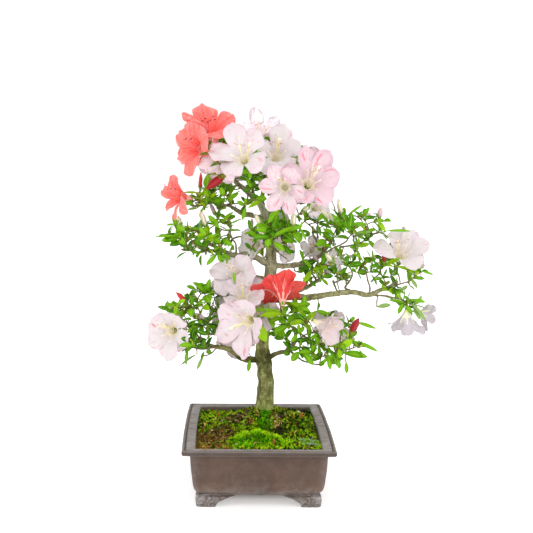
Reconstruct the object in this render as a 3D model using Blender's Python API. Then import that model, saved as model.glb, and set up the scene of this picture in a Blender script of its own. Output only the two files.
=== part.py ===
"""Azalea bonsai in a rectangular unglazed clay pot with four bracket feet.

Metres, +Z up. -Y is the display side. The plant grows from a mossy mound in
the pot: one leaning trunk, tapering boughs, and a crown made of separate
pads of foliage, one closed solid each. Every piece keeps a small gap to its
neighbours.
"""
import math

import bmesh
import bpy
from mathutils import Vector, noise

# ---------------------------------------------------------------- dimensions
POT_WIDTH = 0.190          # rim, along X
POT_DEPTH = 0.266          # rim, along Y
POT_HEIGHT = 0.0745        # standing plane to rim
FOOT_HEIGHT = 0.0135
FOOT_TOP_REACH = 0.048     # length of a foot's leg where it meets the body
FOOT_LOW_REACH = 0.0215    # and where it stands
FOOT_THICK = 0.016
FOOT_INSET = 0.0178        # foot's outer face, in from the rim's edge
RIM_BREADTH = 0.0164
RIM_DROP = 0.0060          # height of the rim's lip
GROOVE_INSET = 0.0046
GROOVE_DEPTH = 0.0008
SIDE_BOW = 0.0017          # how far the long sides swell at mid length
FLOOR_THICK = 0.010
GAP = 0.00035              # clear space between touching pieces

SOIL_EDGE = -0.0055        # soil at the wall, below the rim
SOIL_FRONT_LIFT = 0.0035
MOUND_TOP = 0.0140         # above the rim, where the trunk stands
MOUND_SPREAD = 0.040
PAD_RADIUS = 0.0195        # level patch under the trunk

TRUNK_X, TRUNK_Y = 0.0114, 0.030
TRUNK_FLARE = 0.0165       # radius at the flat cut

# The crown reaches further right than left, so the middle of the whole
# object's box is not the middle of the pot.
CENTRE_X = 0.0483
CENTRE_Y = 0.0086

# ------------------------------------------------------------------- colours
CLAY = (0.150, 0.105, 0.080)
MOSS = (0.130, 0.220, 0.020)
BARK = (0.175, 0.165, 0.095)
LEAF = (0.090, 0.240, 0.030)
BLUSH = (0.870, 0.740, 0.740)
CORAL = (0.800, 0.110, 0.080)

for ob in list(bpy.data.objects):
    bpy.data.objects.remove(ob, do_unlink=True)

scene = bpy.context.scene
parts = bpy.data.collections.new("azalea_bonsai")
guides = bpy.data.collections.new("cutters")
scene.collection.children.link(parts)
scene.collection.children.link(guides)


def material(name, colour, roughness):
    mat = bpy.data.materials.new(name)
    mat.use_nodes = True
    bsdf = next(n for n in mat.node_tree.nodes if n.type == "BSDF_PRINCIPLED")
    bsdf.inputs["Base Color"].default_value = (*colour, 1.0)
    bsdf.inputs["Roughness"].default_value = roughness
    bsdf.inputs["Metallic"].default_value = 0.0
    mat.diffuse_color = (*colour, 1.0)
    return mat


def place(point):
    """From the pot's own frame (middle of the rim) to the part's frame."""
    return Vector((point[0] - CENTRE_X, point[1] - CENTRE_Y, point[2] + POT_HEIGHT))


def add(name, bm, mat, smooth=40.0, collection=None):
    mesh = bpy.data.meshes.new(name)
    bmesh.ops.recalc_face_normals(bm, faces=bm.faces[:])
    bm.to_mesh(mesh)
    bm.free()
    mesh.shade_smooth()
    mesh.set_sharp_from_angle(angle=math.radians(smooth))
    if mat is not None:
        mesh.materials.append(mat)
    ob = bpy.data.objects.new(name, mesh)
    (collection or parts).objects.link(ob)
    if collection is guides:
        ob.hide_render = True
        ob.display_type = "WIRE"
    return ob


# ----------------------------------------------------------------------- pot
def rounded_ring(inset, z, corner, bow=1.0):
    """One level ring of the pot: a rectangle with round corners whose long
    sides swell a little, set in from the rim's outer edge."""
    hx, hy = POT_WIDTH / 2 - inset, POT_DEPTH / 2 - inset
    corner = min(corner, hx * 0.9)
    ring = []
    for sx, sy, a0 in ((1, -1, -90), (1, 1, 0), (-1, 1, 90), (-1, -1, 180)):
        for k in range(5):
            a = math.radians(a0 + 90 * k / 4)
            x = sx * (hx - corner) + corner * math.cos(a)
            y = sy * (hy - corner) + corner * math.sin(a)
            ring.append((x, y))
        if a0 in (-90, 90):        # along a long side
            for t in (0.25, 0.5, 0.75):
                ring.append((sx * hx, sy * (hy - corner) * (1 - 2 * t)))
        else:                      # along a short side
            ring.append((0.0, sy * hy))
    out = []
    for x, y in ring:
        swell = SIDE_BOW * bow * (1 - min(1.0, abs(y) / hy) ** 2)
        out.append((x + math.copysign(swell, x) * min(1.0, abs(x) / (hx * 0.8)), y, z))
    # walk round in one direction, from the front right corner
    return out


def ordered(ring):
    """Sort a ring of points by the angle round its middle."""
    return sorted(ring, key=lambda p: math.atan2(p[1] / POT_DEPTH, p[0] / POT_WIDTH))


def loft(rings, close_first=True, close_last=True):
    bm = bmesh.new()
    rows = [[bm.verts.new(place(p)) for p in ring] for ring in rings]
    n = len(rows[0])
    for a, b in zip(rows, rows[1:]):
        for i in range(n):
            bm.faces.new((a[i], a[(i + 1) % n], b[(i + 1) % n], b[i]))
    if close_first:
        bm.faces.new(rows[0])
    if close_last:
        bm.faces.new(rows[-1])
    return bm


body_low = -(POT_HEIGHT - FOOT_HEIGHT)
outer = [                                   # inset, height, corner radius
    (0.0205, body_low, 0.010),
    (0.0198, body_low + 0.0022, 0.010),
    (0.0168, body_low + 0.0046, 0.009),
    (0.0146, body_low + 0.0082, 0.008),
    (0.0134, body_low + 0.0140, 0.007),
    (0.0100, -0.0100, 0.006),
    (0.0092, -0.0074, 0.006),
    (0.0080, -RIM_DROP, 0.005),
    (0.0014, -RIM_DROP, 0.003),
    (0.0000, -RIM_DROP + 0.0016, 0.003),
    (0.0000, -0.0014, 0.003),
    (0.0010, -0.0002, 0.003),
    (GROOVE_INSET - 0.0009, 0.0000, 0.003),
    (GROOVE_INSET, -GROOVE_DEPTH, 0.003),
    (GROOVE_INSET + 0.0009, 0.0000, 0.003),
    (RIM_BREADTH - 0.0020, -0.0004, 0.003),
    (RIM_BREADTH - 0.0003, -0.0010, 0.003),
    (RIM_BREADTH + 0.0004, -0.0026, 0.003),
    (RIM_BREADTH + 0.0040, body_low + 0.0200, 0.005),
    (RIM_BREADTH + 0.0100, body_low + FLOOR_THICK, 0.006),
]
clay = material("clay", CLAY, 0.62)
pot = add("pot_body", loft([ordered(rounded_ring(*row)) for row in outer]), clay, 35)


def foot(name, sx, sy):
    """A bracket foot: an L in plan whose two legs shorten in a hollow curve
    on the way down, lofted in level slices."""
    clear = GAP
    slices = []
    rows = 9
    for k in range(rows + 1):
        t = k / rows                                   # 0 at the ground
        z = -POT_HEIGHT + (FOOT_HEIGHT - clear) * t
        reach = FOOT_LOW_REACH + (FOOT_TOP_REACH - FOOT_LOW_REACH) * t ** 1.4
        swell = 0.0012 * math.sin(math.pi * t) - 0.0018 * (1 - t) ** 6
        ox = POT_WIDTH / 2 - FOOT_INSET + swell - 0.0040 * max(0.0, t - 0.8) / 0.2
        oy = POT_DEPTH / 2 - FOOT_INSET + swell - 0.0040 * max(0.0, t - 0.8) / 0.2
        ix, iy = ox - FOOT_THICK, oy - FOOT_THICK
        r = 0.004
        plan = []
        for j in range(4):                             # round outer corner
            a = math.radians(90 * j / 3)
            plan.append((ox - r + r * math.cos(a), oy - r + r * math.sin(a)))
        plan += [(ox - reach, oy), (ox - reach - 0.0015, (oy + iy) / 2), (ox - reach, iy), (ix, iy),
                 (ix, oy - reach), ((ox + ix) / 2, oy - reach - 0.0015), (ox, oy - reach)]
        slices.append([(sx * x, sy * y, z) for x, y in plan])
    return add(name, loft(slices), clay, 50)


foot("pot_foot_front_left", -1, -1)
foot("pot_foot_front_right", 1, -1)
foot("pot_foot_back_left", -1, 1)
foot("pot_foot_back_right", 1, 1)


# ---------------------------------------------------------------------- soil
def soil_height(x, y):
    """Top of the mossy soil: level patch under the trunk, a mound that falls
    away from it, a low ridge towards the front and gentle lumps."""
    d = math.hypot((x - TRUNK_X) * 0.95, y - TRUNK_Y)
    edge = SOIL_EDGE + SOIL_FRONT_LIFT * max(0.0, -y / (POT_DEPTH / 2)) ** 2
    rise = MOUND_TOP - edge
    lump = 0.0012 * noise.noise(Vector((x * 38, y * 38, 3.7)))
    ridge = 0.0045 * math.exp(-(((x - 0.004) / 0.030) ** 2 + ((y + 0.052) / 0.022) ** 2))
    u = max(0.0, d - PAD_RADIUS)
    fall = math.exp(-((u / MOUND_SPREAD) ** 2))
    fade = min(1.0, u / 0.010)
    wall = min(1.0, min((POT_WIDTH / 2 - RIM_BREADTH - abs(x)) / 0.012,
                        (POT_DEPTH / 2 - RIM_BREADTH - abs(y)) / 0.012))
    fall_edge = fall * max(0.0, wall) if u > 0 else 1.0
    return edge + rise * fall_edge + (lump + ridge) * fade * max(0.0, wall)


def soil():
    low = [(RIM_BREADTH + 0.0110, body_low + FLOOR_THICK + GAP, 0.006),
           (RIM_BREADTH + 0.0044, body_low + 0.0206, 0.005),
           (RIM_BREADTH + 0.0012, SOIL_EDGE - 0.0030, 0.004)]
    rings = [ordered(rounded_ring(*row)) for row in low]
    rim = ordered(rounded_ring(RIM_BREADTH + 0.0014, 0.0, 0.004))
    steps = 9
    for k in range(steps):
        s = 1 - k / steps
        s = s ** 0.9
        ring = []
        for x, y, _ in rim:
            px = TRUNK_X + (x - TRUNK_X) * s
            py = TRUNK_Y + (y - TRUNK_Y) * s
            ring.append((px, py, soil_height(px, py)))
        rings.append(ring)
    last = []
    for x, y, _ in rim:                                # round level patch
        a = math.atan2(y - TRUNK_Y, x - TRUNK_X)
        last.append((TRUNK_X + (PAD_RADIUS - 0.002) * math.cos(a),
                     TRUNK_Y + (PAD_RADIUS - 0.002) * math.sin(a), MOUND_TOP))
    keep = [r for r in rings[3:] if min(math.hypot(p[0] - TRUNK_X, p[1] - TRUNK_Y)
                                        for p in r) > PAD_RADIUS + 0.002]
    return loft(rings[:3] + keep + [last])


moss = material("moss", MOSS, 0.95)
add("moss_soil", soil(), moss, 60)


# --------------------------------------------------------------------- limbs
def smooth_path(points, per=3):
    """Catmull-Rom through (x, y, z, radius) points, `per` steps a span."""
    out = []
    n = len(points)
    for i in range(n - 1):
        p0, p1 = points[max(0, i - 1)], points[i]
        p2, p3 = points[i + 1], points[min(n - 1, i + 2)]
        for k in range(per):
            t = k / per
            out.append(tuple(
                0.5 * (2 * b + (c - a) * t + (2 * a - 5 * b + 4 * c - d) * t * t
                       + (3 * b - a - 3 * c + d) * t ** 3)
                for a, b, c, d in zip(p0, p1, p2, p3)))
    out.append(tuple(points[-1]))
    return out


def tube(name, points, mat, collection, grow=0.0, resolution=2):
    """A tapering limb: a curve with a round bevel and filled caps, turned
    into a welded mesh so that it can be cut."""
    curve = bpy.data.curves.new(name + "_curve", "CURVE")
    curve.dimensions = "3D"
    curve.bevel_mode = "ROUND"
    curve.bevel_depth = 1.0
    curve.bevel_resolution = resolution
    curve.use_fill_caps = True
    spline = curve.splines.new("POLY")
    spline.points.add(len(points) - 1)
    for sp, p in zip(spline.points, points):
        v = place(p[:3])
        sp.co = (*v, 1.0)
        sp.radius = p[3] + grow
    tmp = bpy.data.objects.new(name + "_tmp", curve)
    scene.collection.objects.link(tmp)
    bpy.context.view_layer.update()
    mesh = bpy.data.meshes.new_from_object(tmp.evaluated_get(bpy.context.evaluated_depsgraph_get()))
    bpy.data.objects.remove(tmp, do_unlink=True)
    bm = bmesh.new()
    bm.from_mesh(mesh)
    bmesh.ops.remove_doubles(bm, verts=bm.verts[:], dist=0.00001)
    bpy.data.meshes.remove(mesh)
    return add(name, bm, mat, 60, collection)


bark = material("bark", BARK, 0.85)

TRUNK = [
    (TRUNK_X, TRUNK_Y, MOUND_TOP + GAP, TRUNK_FLARE),
    (TRUNK_X, TRUNK_Y, MOUND_TOP + 0.0035, 0.0140),
    (0.0114, 0.030, 0.0225, 0.0125),
    (0.0118, 0.030, 0.0380, 0.0113),
    (0.0125, 0.030, 0.0518, 0.0109),
    (0.0096, 0.030, 0.0738, 0.0102),
    (0.0067, 0.030, 0.1013, 0.0090),
    (0.0117, 0.030, 0.1520, 0.0083),
    (0.0167, 0.030, 0.1928, 0.0078),
    (0.0178, 0.030, 0.2225, 0.0073),
    (0.0142, 0.030, 0.2535, 0.0062),
    (0.0099, 0.030, 0.2790, 0.0053),
    (0.0040, 0.029, 0.2930, 0.0044),
    (-0.0060, 0.026, 0.3040, 0.0036),
    (-0.0180, 0.021, 0.3150, 0.0031),
    (-0.0290, 0.018, 0.3240, 0.0026),
    (-0.0400, 0.014, 0.3400, 0.0022),
    (-0.0500, 0.010, 0.3560, 0.0018),
]

# Each bough: where it leaves the trunk, bends on its way, and the pad it
# enters; radius at the root and at the tip.
BOUGHS = {
    "bough_low_left": ([(0.0085, 0.030, 0.0850), (-0.0177, 0.020, 0.0866), (-0.0309, 0.010, 0.0972),
                        (-0.0430, 0.000, 0.1047), (-0.0600, 0.000, 0.1075), (-0.0800, 0.000, 0.1150)],
                       0.0052, 0.0024),
    "bough_low_front": ([(0.0067, 0.030, 0.1060), (-0.0020, 0.012, 0.1160), (-0.0130, -0.012, 0.1270)],
                        0.0036, 0.0018),
    "bough_low_right": ([(0.0085, 0.030, 0.0850), (0.0296, 0.020, 0.0947), (0.0429, 0.010, 0.1014),
                         (0.0520, 0.002, 0.1150)], 0.0042, 0.0020),
    "bough_low_back": ([(0.0100, 0.030, 0.1250), (0.0110, 0.052, 0.1320), (0.0135, 0.080, 0.1380)],
                       0.0036, 0.0018),
    "bough_red_front": ([(0.0120, 0.030, 0.1540), (0.0160, 0.012, 0.1640), (0.0220, -0.012, 0.1780)],
                        0.0034, 0.0016),
    "bough_mid_front": ([(0.0160, 0.030, 0.1900), (0.0000, 0.014, 0.1990), (-0.0160, 0.000, 0.2080)],
                        0.0034, 0.0016),
    "bough_right_long": ([(0.0150, 0.030, 0.1700), (0.0522, 0.014, 0.1721), (0.0673, 0.008, 0.1722),
                          (0.0898, 0.004, 0.1767), (0.1231, 0.000, 0.1805), (0.1440, 0.000, 0.1770),
                          (0.1640, 0.002, 0.1830), (0.1850, 0.008, 0.1950)], 0.0052, 0.0024),
    "bough_right_upper": ([(0.0165, 0.030, 0.1780), (0.0420, 0.036, 0.1745), (0.0700, 0.042, 0.1830),
                           (0.0900, 0.045, 0.1960)], 0.0042, 0.0022),
    "bough_mid_left": ([(0.0178, 0.030, 0.2120), (0.0018, 0.022, 0.2216), (-0.0128, 0.016, 0.2286),
                        (-0.0290, 0.014, 0.2268), (-0.0500, 0.016, 0.2340), (-0.0700, 0.018, 0.2450)],
                       0.0050, 0.0024),
    "bough_mid_back": ([(0.0170, 0.030, 0.2280), (0.0160, 0.050, 0.2330), (0.0150, 0.080, 0.2380)],
                       0.0034, 0.0018),
    "bough_up_right": ([(0.0178, 0.030, 0.2110), (0.0475, 0.030, 0.2135), (0.0675, 0.030, 0.2175),
                        (0.0840, 0.030, 0.2260), (0.1000, 0.030, 0.2480)], 0.0046, 0.0022),
    "bough_centre": ([(0.0142, 0.030, 0.2480), (0.0170, 0.014, 0.2530), (0.0210, -0.006, 0.2570)],
                     0.0030, 0.0016),
    "bough_up_left": ([(0.0105, 0.030, 0.2740), (-0.0095, 0.024, 0.2800), (-0.0220, 0.020, 0.2830),
                       (-0.0420, 0.018, 0.2950)], 0.0034, 0.0018),
    "bough_up_back": ([(0.0060, 0.030, 0.2890), (0.0060, 0.050, 0.3050), (0.0070, 0.080, 0.3220)],
                      0.0030, 0.0016),
    "bough_top_right": ([(0.0100, 0.030, 0.2780), (0.0230, 0.026, 0.2920), (0.0380, 0.018, 0.3080)],
                        0.0032, 0.0016),
    "bough_top": ([(-0.0060, 0.026, 0.3040), (-0.0070, 0.024, 0.3220), (-0.0040, 0.020, 0.3500)],
                  0.0026, 0.0016),
}


def tapered(points, root, tip):
    """Give each point of a bough its radius, by the way along it."""
    lengths = [0.0]
    for a, b in zip(points, points[1:]):
        lengths.append(lengths[-1] + (Vector(b) - Vector(a)).length)
    return [(*p, root + (tip - root) * (s / lengths[-1]) ** 0.85) for p, s in zip(points, lengths)]


# --------------------------------------------------------------------- crown
# Each pad of foliage: middle, half sizes, squareness of its outline, seed,
# colour, and any planes it stays behind (point, normal pointing away).
FRONT_OF_TRUNK = ((0, TRUNK_Y - 0.0105, 0), (0, 1, 0))
BACK_OF_TRUNK = ((0, TRUNK_Y + 0.0105, 0), (0, -1, 0))
PADS = {
    "pad_low_left": ((-0.092, 0.000, 0.142), (0.054, 0.080, 0.050), 2.3, 1, "leaf", []),
    "pad_low_front": ((-0.022, -0.034, 0.134), (0.036, 0.035, 0.041), 2.2, 2, "blush", [FRONT_OF_TRUNK]),
    "pad_low_right": ((0.052, 0.000, 0.136), (0.038, 0.072, 0.030), 2.4, 3, "leaf", []),
    "pad_low_far": ((0.124, -0.003, 0.110), (0.040, 0.062, 0.040), 2.3, 4, "leaf", []),
    "pad_low_back": ((0.014, 0.102, 0.140), (0.062, 0.052, 0.036), 2.3, 5, "leaf", [BACK_OF_TRUNK]),
    "pad_red_front": ((0.025, -0.038, 0.187), (0.037, 0.036, 0.027), 2.2, 6, "coral", [FRONT_OF_TRUNK]),
    "pad_mid_front": ((-0.032, -0.018, 0.213), (0.034, 0.040, 0.044), 2.2, 7, "blush", [FRONT_OF_TRUNK]),
    "pad_mid_left": ((-0.086, 0.024, 0.252), (0.053, 0.078, 0.036), 2.3, 8, "leaf", []),
    "pad_mid_right": ((0.100, 0.034, 0.207), (0.055, 0.076, 0.028), 2.4, 9, "leaf",
                      [((0, 0, 0.1872), (0, 0, -1)), ((0.05, 0, 0.2075), (-0.25, 0, 1))]),
    "pad_far_right": ((0.191, 0.012, 0.208), (0.048, 0.056, 0.056), 2.3, 10, "leaf", []),
    "pad_far_low": ((0.209, -0.002, 0.138), (0.032, 0.032, 0.018), 2.2, 11, "blush", []),
    "pad_mid_back": ((0.010, 0.104, 0.240), (0.070, 0.052, 0.038), 2.3, 12, "leaf", [BACK_OF_TRUNK]),
    "pad_up_right": ((0.116, 0.030, 0.265), (0.059, 0.074, 0.036), 2.3, 13, "leaf",
                     [((0.05, 0, 0.2260), (0.10, 0, -1))]),
    "pad_centre": ((0.024, -0.024, 0.256), (0.038, 0.036, 0.034), 2.2, 14, "leaf", [FRONT_OF_TRUNK]),
    "pad_up_left": ((-0.060, 0.018, 0.302), (0.067, 0.068, 0.036), 2.3, 15, "leaf",
                    [((0.0015, 0.03, 0.2860), (0.69, 0, 0.72))]),
    "pad_up_back": ((0.004, 0.104, 0.332), (0.064, 0.046, 0.044), 2.3, 16, "leaf", [BACK_OF_TRUNK]),
    "pad_top_left": ((-0.071, 0.000, 0.384), (0.041, 0.050, 0.046), 2.2, 17, "coral", []),
    "pad_top": ((-0.001, 0.014, 0.379), (0.046, 0.062, 0.043), 2.2, 18, "blush", []),
    "pad_top_right": ((0.055, 0.006, 0.327), (0.053, 0.058, 0.052), 2.2, 19, "blush", []),
}


def reach(half, power, d):
    """Distance from a pad's middle to its plain surface along d."""
    return sum((abs(c) / h) ** power for c, h in zip(d, half)) ** (-1 / power)


def parting(a, b):
    """The plane that keeps two neighbouring pads apart, on a's side."""
    ca, ha, pa = Vector(PADS[a][0]), PADS[a][1], PADS[a][2]
    cb, hb, pb = Vector(PADS[b][0]), PADS[b][1], PADS[b][2]
    line = (cb - ca)
    d = line.normalized()
    ra, rb = reach(ha, pa, d), reach(hb, pb, d)
    mean = [(x + y) / 2 for x, y in zip(ha, hb)]
    normal = Vector([c / m ** 2 for c, m in zip(line, mean)]).normalized()
    point = ca + line * (ra / (ra + rb)) - normal * (GAP * 1.3)
    return point, normal


def near(a, b):
    ca, ha = PADS[a][0], PADS[a][1]
    cb, hb = PADS[b][0], PADS[b][1]
    mean = [(x + y) / 2 for x, y in zip(ha, hb)]
    return sum(((p - q) / (2 * m)) ** 2 for p, q, m in zip(ca, cb, mean)) < 1.15


def pad(name, grow=0.0, collection=None, segments=14, rings=9):
    centre, half, power, seed, kind, planes = PADS[name]
    walls = [(Vector(p), Vector(n).normalized()) for p, n in planes]
    walls += [parting(name, other) for other in PADS if other != name and near(name, other)]
    c = Vector(centre)
    bm = bmesh.new()
    bmesh.ops.create_uvsphere(bm, u_segments=segments, v_segments=rings, radius=1.0)

    def bump(d):
        """Tufts and hollows of the foliage, as a share of the plain size."""
        return 0.19 * noise.noise(d * 1.7 + Vector((seed * 7.3, seed * 1.7, 0))) \
            + 0.13 * noise.noise(d * 3.6 + Vector((0, seed * 3.1, seed * 5.9)))

    highest = max(bump(v.co.normalized()) for v in bm.verts)
    for v in bm.verts:
        d = v.co.normalized()
        # the furthest tuft reaches the full size, the rest stay inside it
        r = reach(half, power, d) * min(1.0, 1.04 + bump(d) - highest)
        for point, normal in walls:
            facing = d.dot(normal)
            room = (point - c).dot(normal)
            if facing > 1e-4 and r * facing > room:
                r = room / facing
        v.co = c + d * (r + grow)
    for v in bm.verts:
        v.co = place(v.co)
    return add(name, bm, finish[kind], 80, collection)


finish = {
    "leaf": material("foliage", LEAF, 0.6),
    "blush": material("pale_bloom", BLUSH, 0.6),
    "coral": material("coral_bloom", CORAL, 0.6),
}


def cut(ob, cutter):
    """Subtract one mesh from another and keep the largest piece."""
    mod = ob.modifiers.new("clear", "BOOLEAN")
    mod.operation = "DIFFERENCE"
    mod.solver = "EXACT"
    mod.object = cutter
    bpy.context.view_layer.update()
    mesh = bpy.data.meshes.new_from_object(ob.evaluated_get(bpy.context.evaluated_depsgraph_get()))
    ob.modifiers.remove(mod)
    bm = bmesh.new()
    bm.from_mesh(mesh)
    bpy.data.meshes.remove(mesh)
    left = set(bm.verts)
    groups = []
    while left:
        seed = next(iter(left))
        group, stack = {seed}, [seed]
        while stack:
            v = stack.pop()
            for e in v.link_edges:
                w = e.other_vert(v)
                if w not in group:
                    group.add(w)
                    stack.append(w)
        left -= group
        groups.append(group)

    def span(g):
        xs = [v.co for v in g]
        return max((p - q).length for p in xs[:: max(1, len(xs) // 40)] for q in xs[:: max(1, len(xs) // 40)])

    groups.sort(key=span, reverse=True)
    for g in groups[1:]:
        bmesh.ops.delete(bm, geom=list(g), context="VERTS")
    bmesh.ops.remove_doubles(bm, verts=bm.verts[:], dist=0.00002)
    bmesh.ops.dissolve_degenerate(bm, edges=bm.edges[:], dist=0.00002)
    bmesh.ops.triangulate(bm, faces=bm.faces[:])
    bm.to_mesh(ob.data)
    bm.free()
    ob.data.shade_smooth()
    ob.data.set_sharp_from_angle(angle=math.radians(60))


trunk_path = smooth_path(TRUNK, 2)
trunk_path[0] = TRUNK[0]
pads = {}
fat_pads = {}
for name in PADS:
    pads[name] = pad(name)
    fat_pads[name] = pad(name, grow=0.0006, collection=guides)
    fat_pads[name].name = "clear_" + name

trunk = tube("trunk", trunk_path, bark, parts, resolution=3)
fat_trunk = tube("clear_trunk", trunk_path, None, guides, grow=GAP, resolution=3)


def box_of(ob):
    pts = [v.co for v in ob.data.vertices]
    return [min(p[i] for p in pts) for i in range(3)], [max(p[i] for p in pts) for i in range(3)]


def touching(a, b):
    (al, ah), (bl, bh) = box_of(a), box_of(b)
    return all(al[i] < bh[i] and bl[i] < ah[i] for i in range(3))


# the trunk runs on until it enters the pad at its top
for name, fat in fat_pads.items():
    if touching(trunk, fat):
        cut(trunk, fat)

# a bough starts at the trunk's bark, passes clear of the boughs below it and
# ends where it enters its pad
fat_boughs = []
for name, (points, root, tip) in BOUGHS.items():
    path = smooth_path(tapered(points, root, tip), 2)
    limb = tube(name, path, bark, parts)
    cut(limb, fat_trunk)
    for fat in list(fat_pads.values()) + fat_boughs:
        if touching(limb, fat):
            cut(limb, fat)
    fat_boughs.append(tube("clear_" + name, path, None, guides, grow=GAP))
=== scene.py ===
"""Looks of the azalea bonsai: clay pot, moss, bark, twigs, leaves and blossom,
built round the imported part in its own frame."""
import math

import bpy
import numpy as np
from mathutils import Matrix, Vector, noise


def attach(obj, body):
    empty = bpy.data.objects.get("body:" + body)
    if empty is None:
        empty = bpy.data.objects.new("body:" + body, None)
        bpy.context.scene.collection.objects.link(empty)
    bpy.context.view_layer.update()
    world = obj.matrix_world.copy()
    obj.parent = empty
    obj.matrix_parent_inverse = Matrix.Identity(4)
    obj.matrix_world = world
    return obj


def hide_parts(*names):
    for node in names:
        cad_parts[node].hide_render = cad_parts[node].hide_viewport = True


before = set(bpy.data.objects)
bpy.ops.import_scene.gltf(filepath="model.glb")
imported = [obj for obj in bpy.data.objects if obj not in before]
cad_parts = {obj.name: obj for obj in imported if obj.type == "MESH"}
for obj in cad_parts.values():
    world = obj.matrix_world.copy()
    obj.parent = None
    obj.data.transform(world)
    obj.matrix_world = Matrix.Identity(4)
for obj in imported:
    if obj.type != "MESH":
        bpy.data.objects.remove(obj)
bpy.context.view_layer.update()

rng = np.random.default_rng(20241)

# ------------------------------------------------------------------ the frame
# Everything below is worked out in the pot's own frame (middle of the rim) and
# moved to the part's frame when a piece is made.
POT_WIDTH, POT_DEPTH, POT_HEIGHT, FOOT_HEIGHT = 0.190, 0.266, 0.0745, 0.0135
FOOT_TOP_REACH, FOOT_LOW_REACH, FOOT_THICK, FOOT_INSET = 0.048, 0.0215, 0.016, 0.0178
RIM_BREADTH, RIM_DROP, GROOVE_INSET, SIDE_BOW, FLOOR_THICK = 0.0164, 0.0060, 0.0046, 0.0017, 0.010
SOIL_EDGE, SOIL_FRONT_LIFT, MOUND_TOP, MOUND_SPREAD, PAD_RADIUS = -0.0055, 0.0035, 0.0140, 0.040, 0.0195
TRUNK_X, TRUNK_Y = 0.0114, 0.030
OFFSET = np.array([-0.0483, -0.0086, POT_HEIGHT])
BODY_LOW = -(POT_HEIGHT - FOOT_HEIGHT)

# camera, in the pot's frame
CAM = np.array([-0.03458, -1.44286, 0.35777])
PITCH, ROLL, FOCAL = math.radians(5.70), math.radians(0.31), 1100.0
CU, CV = 232.0, 266.5
FWD = np.array([0.0, math.cos(PITCH), -math.sin(PITCH)])
UPV = np.array([0.0, math.sin(PITCH), math.cos(PITCH)])


def at(px, py, y):
    """The point of the pot's frame on the plane y that shows at a pixel."""
    a, b = (px - CU) / FOCAL, -(py - CV) / FOCAL
    x = math.cos(ROLL) * a - math.sin(ROLL) * b
    up = math.sin(ROLL) * a + math.cos(ROLL) * b
    d = np.array([x, 0, 0]) + FWD + UPV * up
    return CAM + d * ((y - CAM[1]) / d[1])


def shows_at(p):
    """The pixels where points of the pot's frame show."""
    v = np.asarray(p, float) - CAM
    depth = v @ FWD
    x, up = v[..., 0] / depth, (v @ UPV) / depth
    a = math.cos(ROLL) * x + math.sin(ROLL) * up
    b = -math.sin(ROLL) * x + math.cos(ROLL) * up
    return np.stack([CU + FOCAL * a, CV - FOCAL * b], -1)


def unit(v):
    v = np.asarray(v, float)
    n = np.linalg.norm(v, axis=-1, keepdims=True)
    return v / np.maximum(n, 1e-12)


def smooth(t):
    t = np.clip(t, 0.0, 1.0)
    return t * t * (3 - 2 * t)


def fbm(points, scale, octaves=3, seed=0.0, rough=0.5):
    """Layered smooth noise at an array of points, about -1 to 1."""
    p = np.asarray(points, float).reshape(-1, 3) * scale + seed * 7.31
    out = np.zeros(len(p))
    amp = 1.0
    for _ in range(octaves):
        out += amp * np.array([noise.noise(q) for q in p.tolist()])
        p = p * 2.03 + 11.7
        amp *= rough
    return out.reshape(np.asarray(points).shape[:-1])


# ------------------------------------------------------------------ materials
def srgb(r, g, b):
    out = []
    for c in (r, g, b):
        c /= 255.0
        out.append(c / 12.92 if c <= 0.04045 else ((c + 0.055) / 1.055) ** 2.4)
    return (*out, 1.0)


def plain(name, colour, rough=0.5, **sockets):
    """A surface of one colour, for the many small pieces of one kind."""
    mat = bpy.data.materials.new(name)
    mat.use_nodes = True
    bsdf = next(n for n in mat.node_tree.nodes if n.type == "BSDF_PRINCIPLED")
    bsdf.inputs["Base Color"].default_value = srgb(*colour)
    bsdf.inputs["Roughness"].default_value = rough
    for key, value in sockets.items():
        bsdf.inputs[key.replace("_", " ")].default_value = value
    mat.diffuse_color = srgb(*colour)
    return mat


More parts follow.
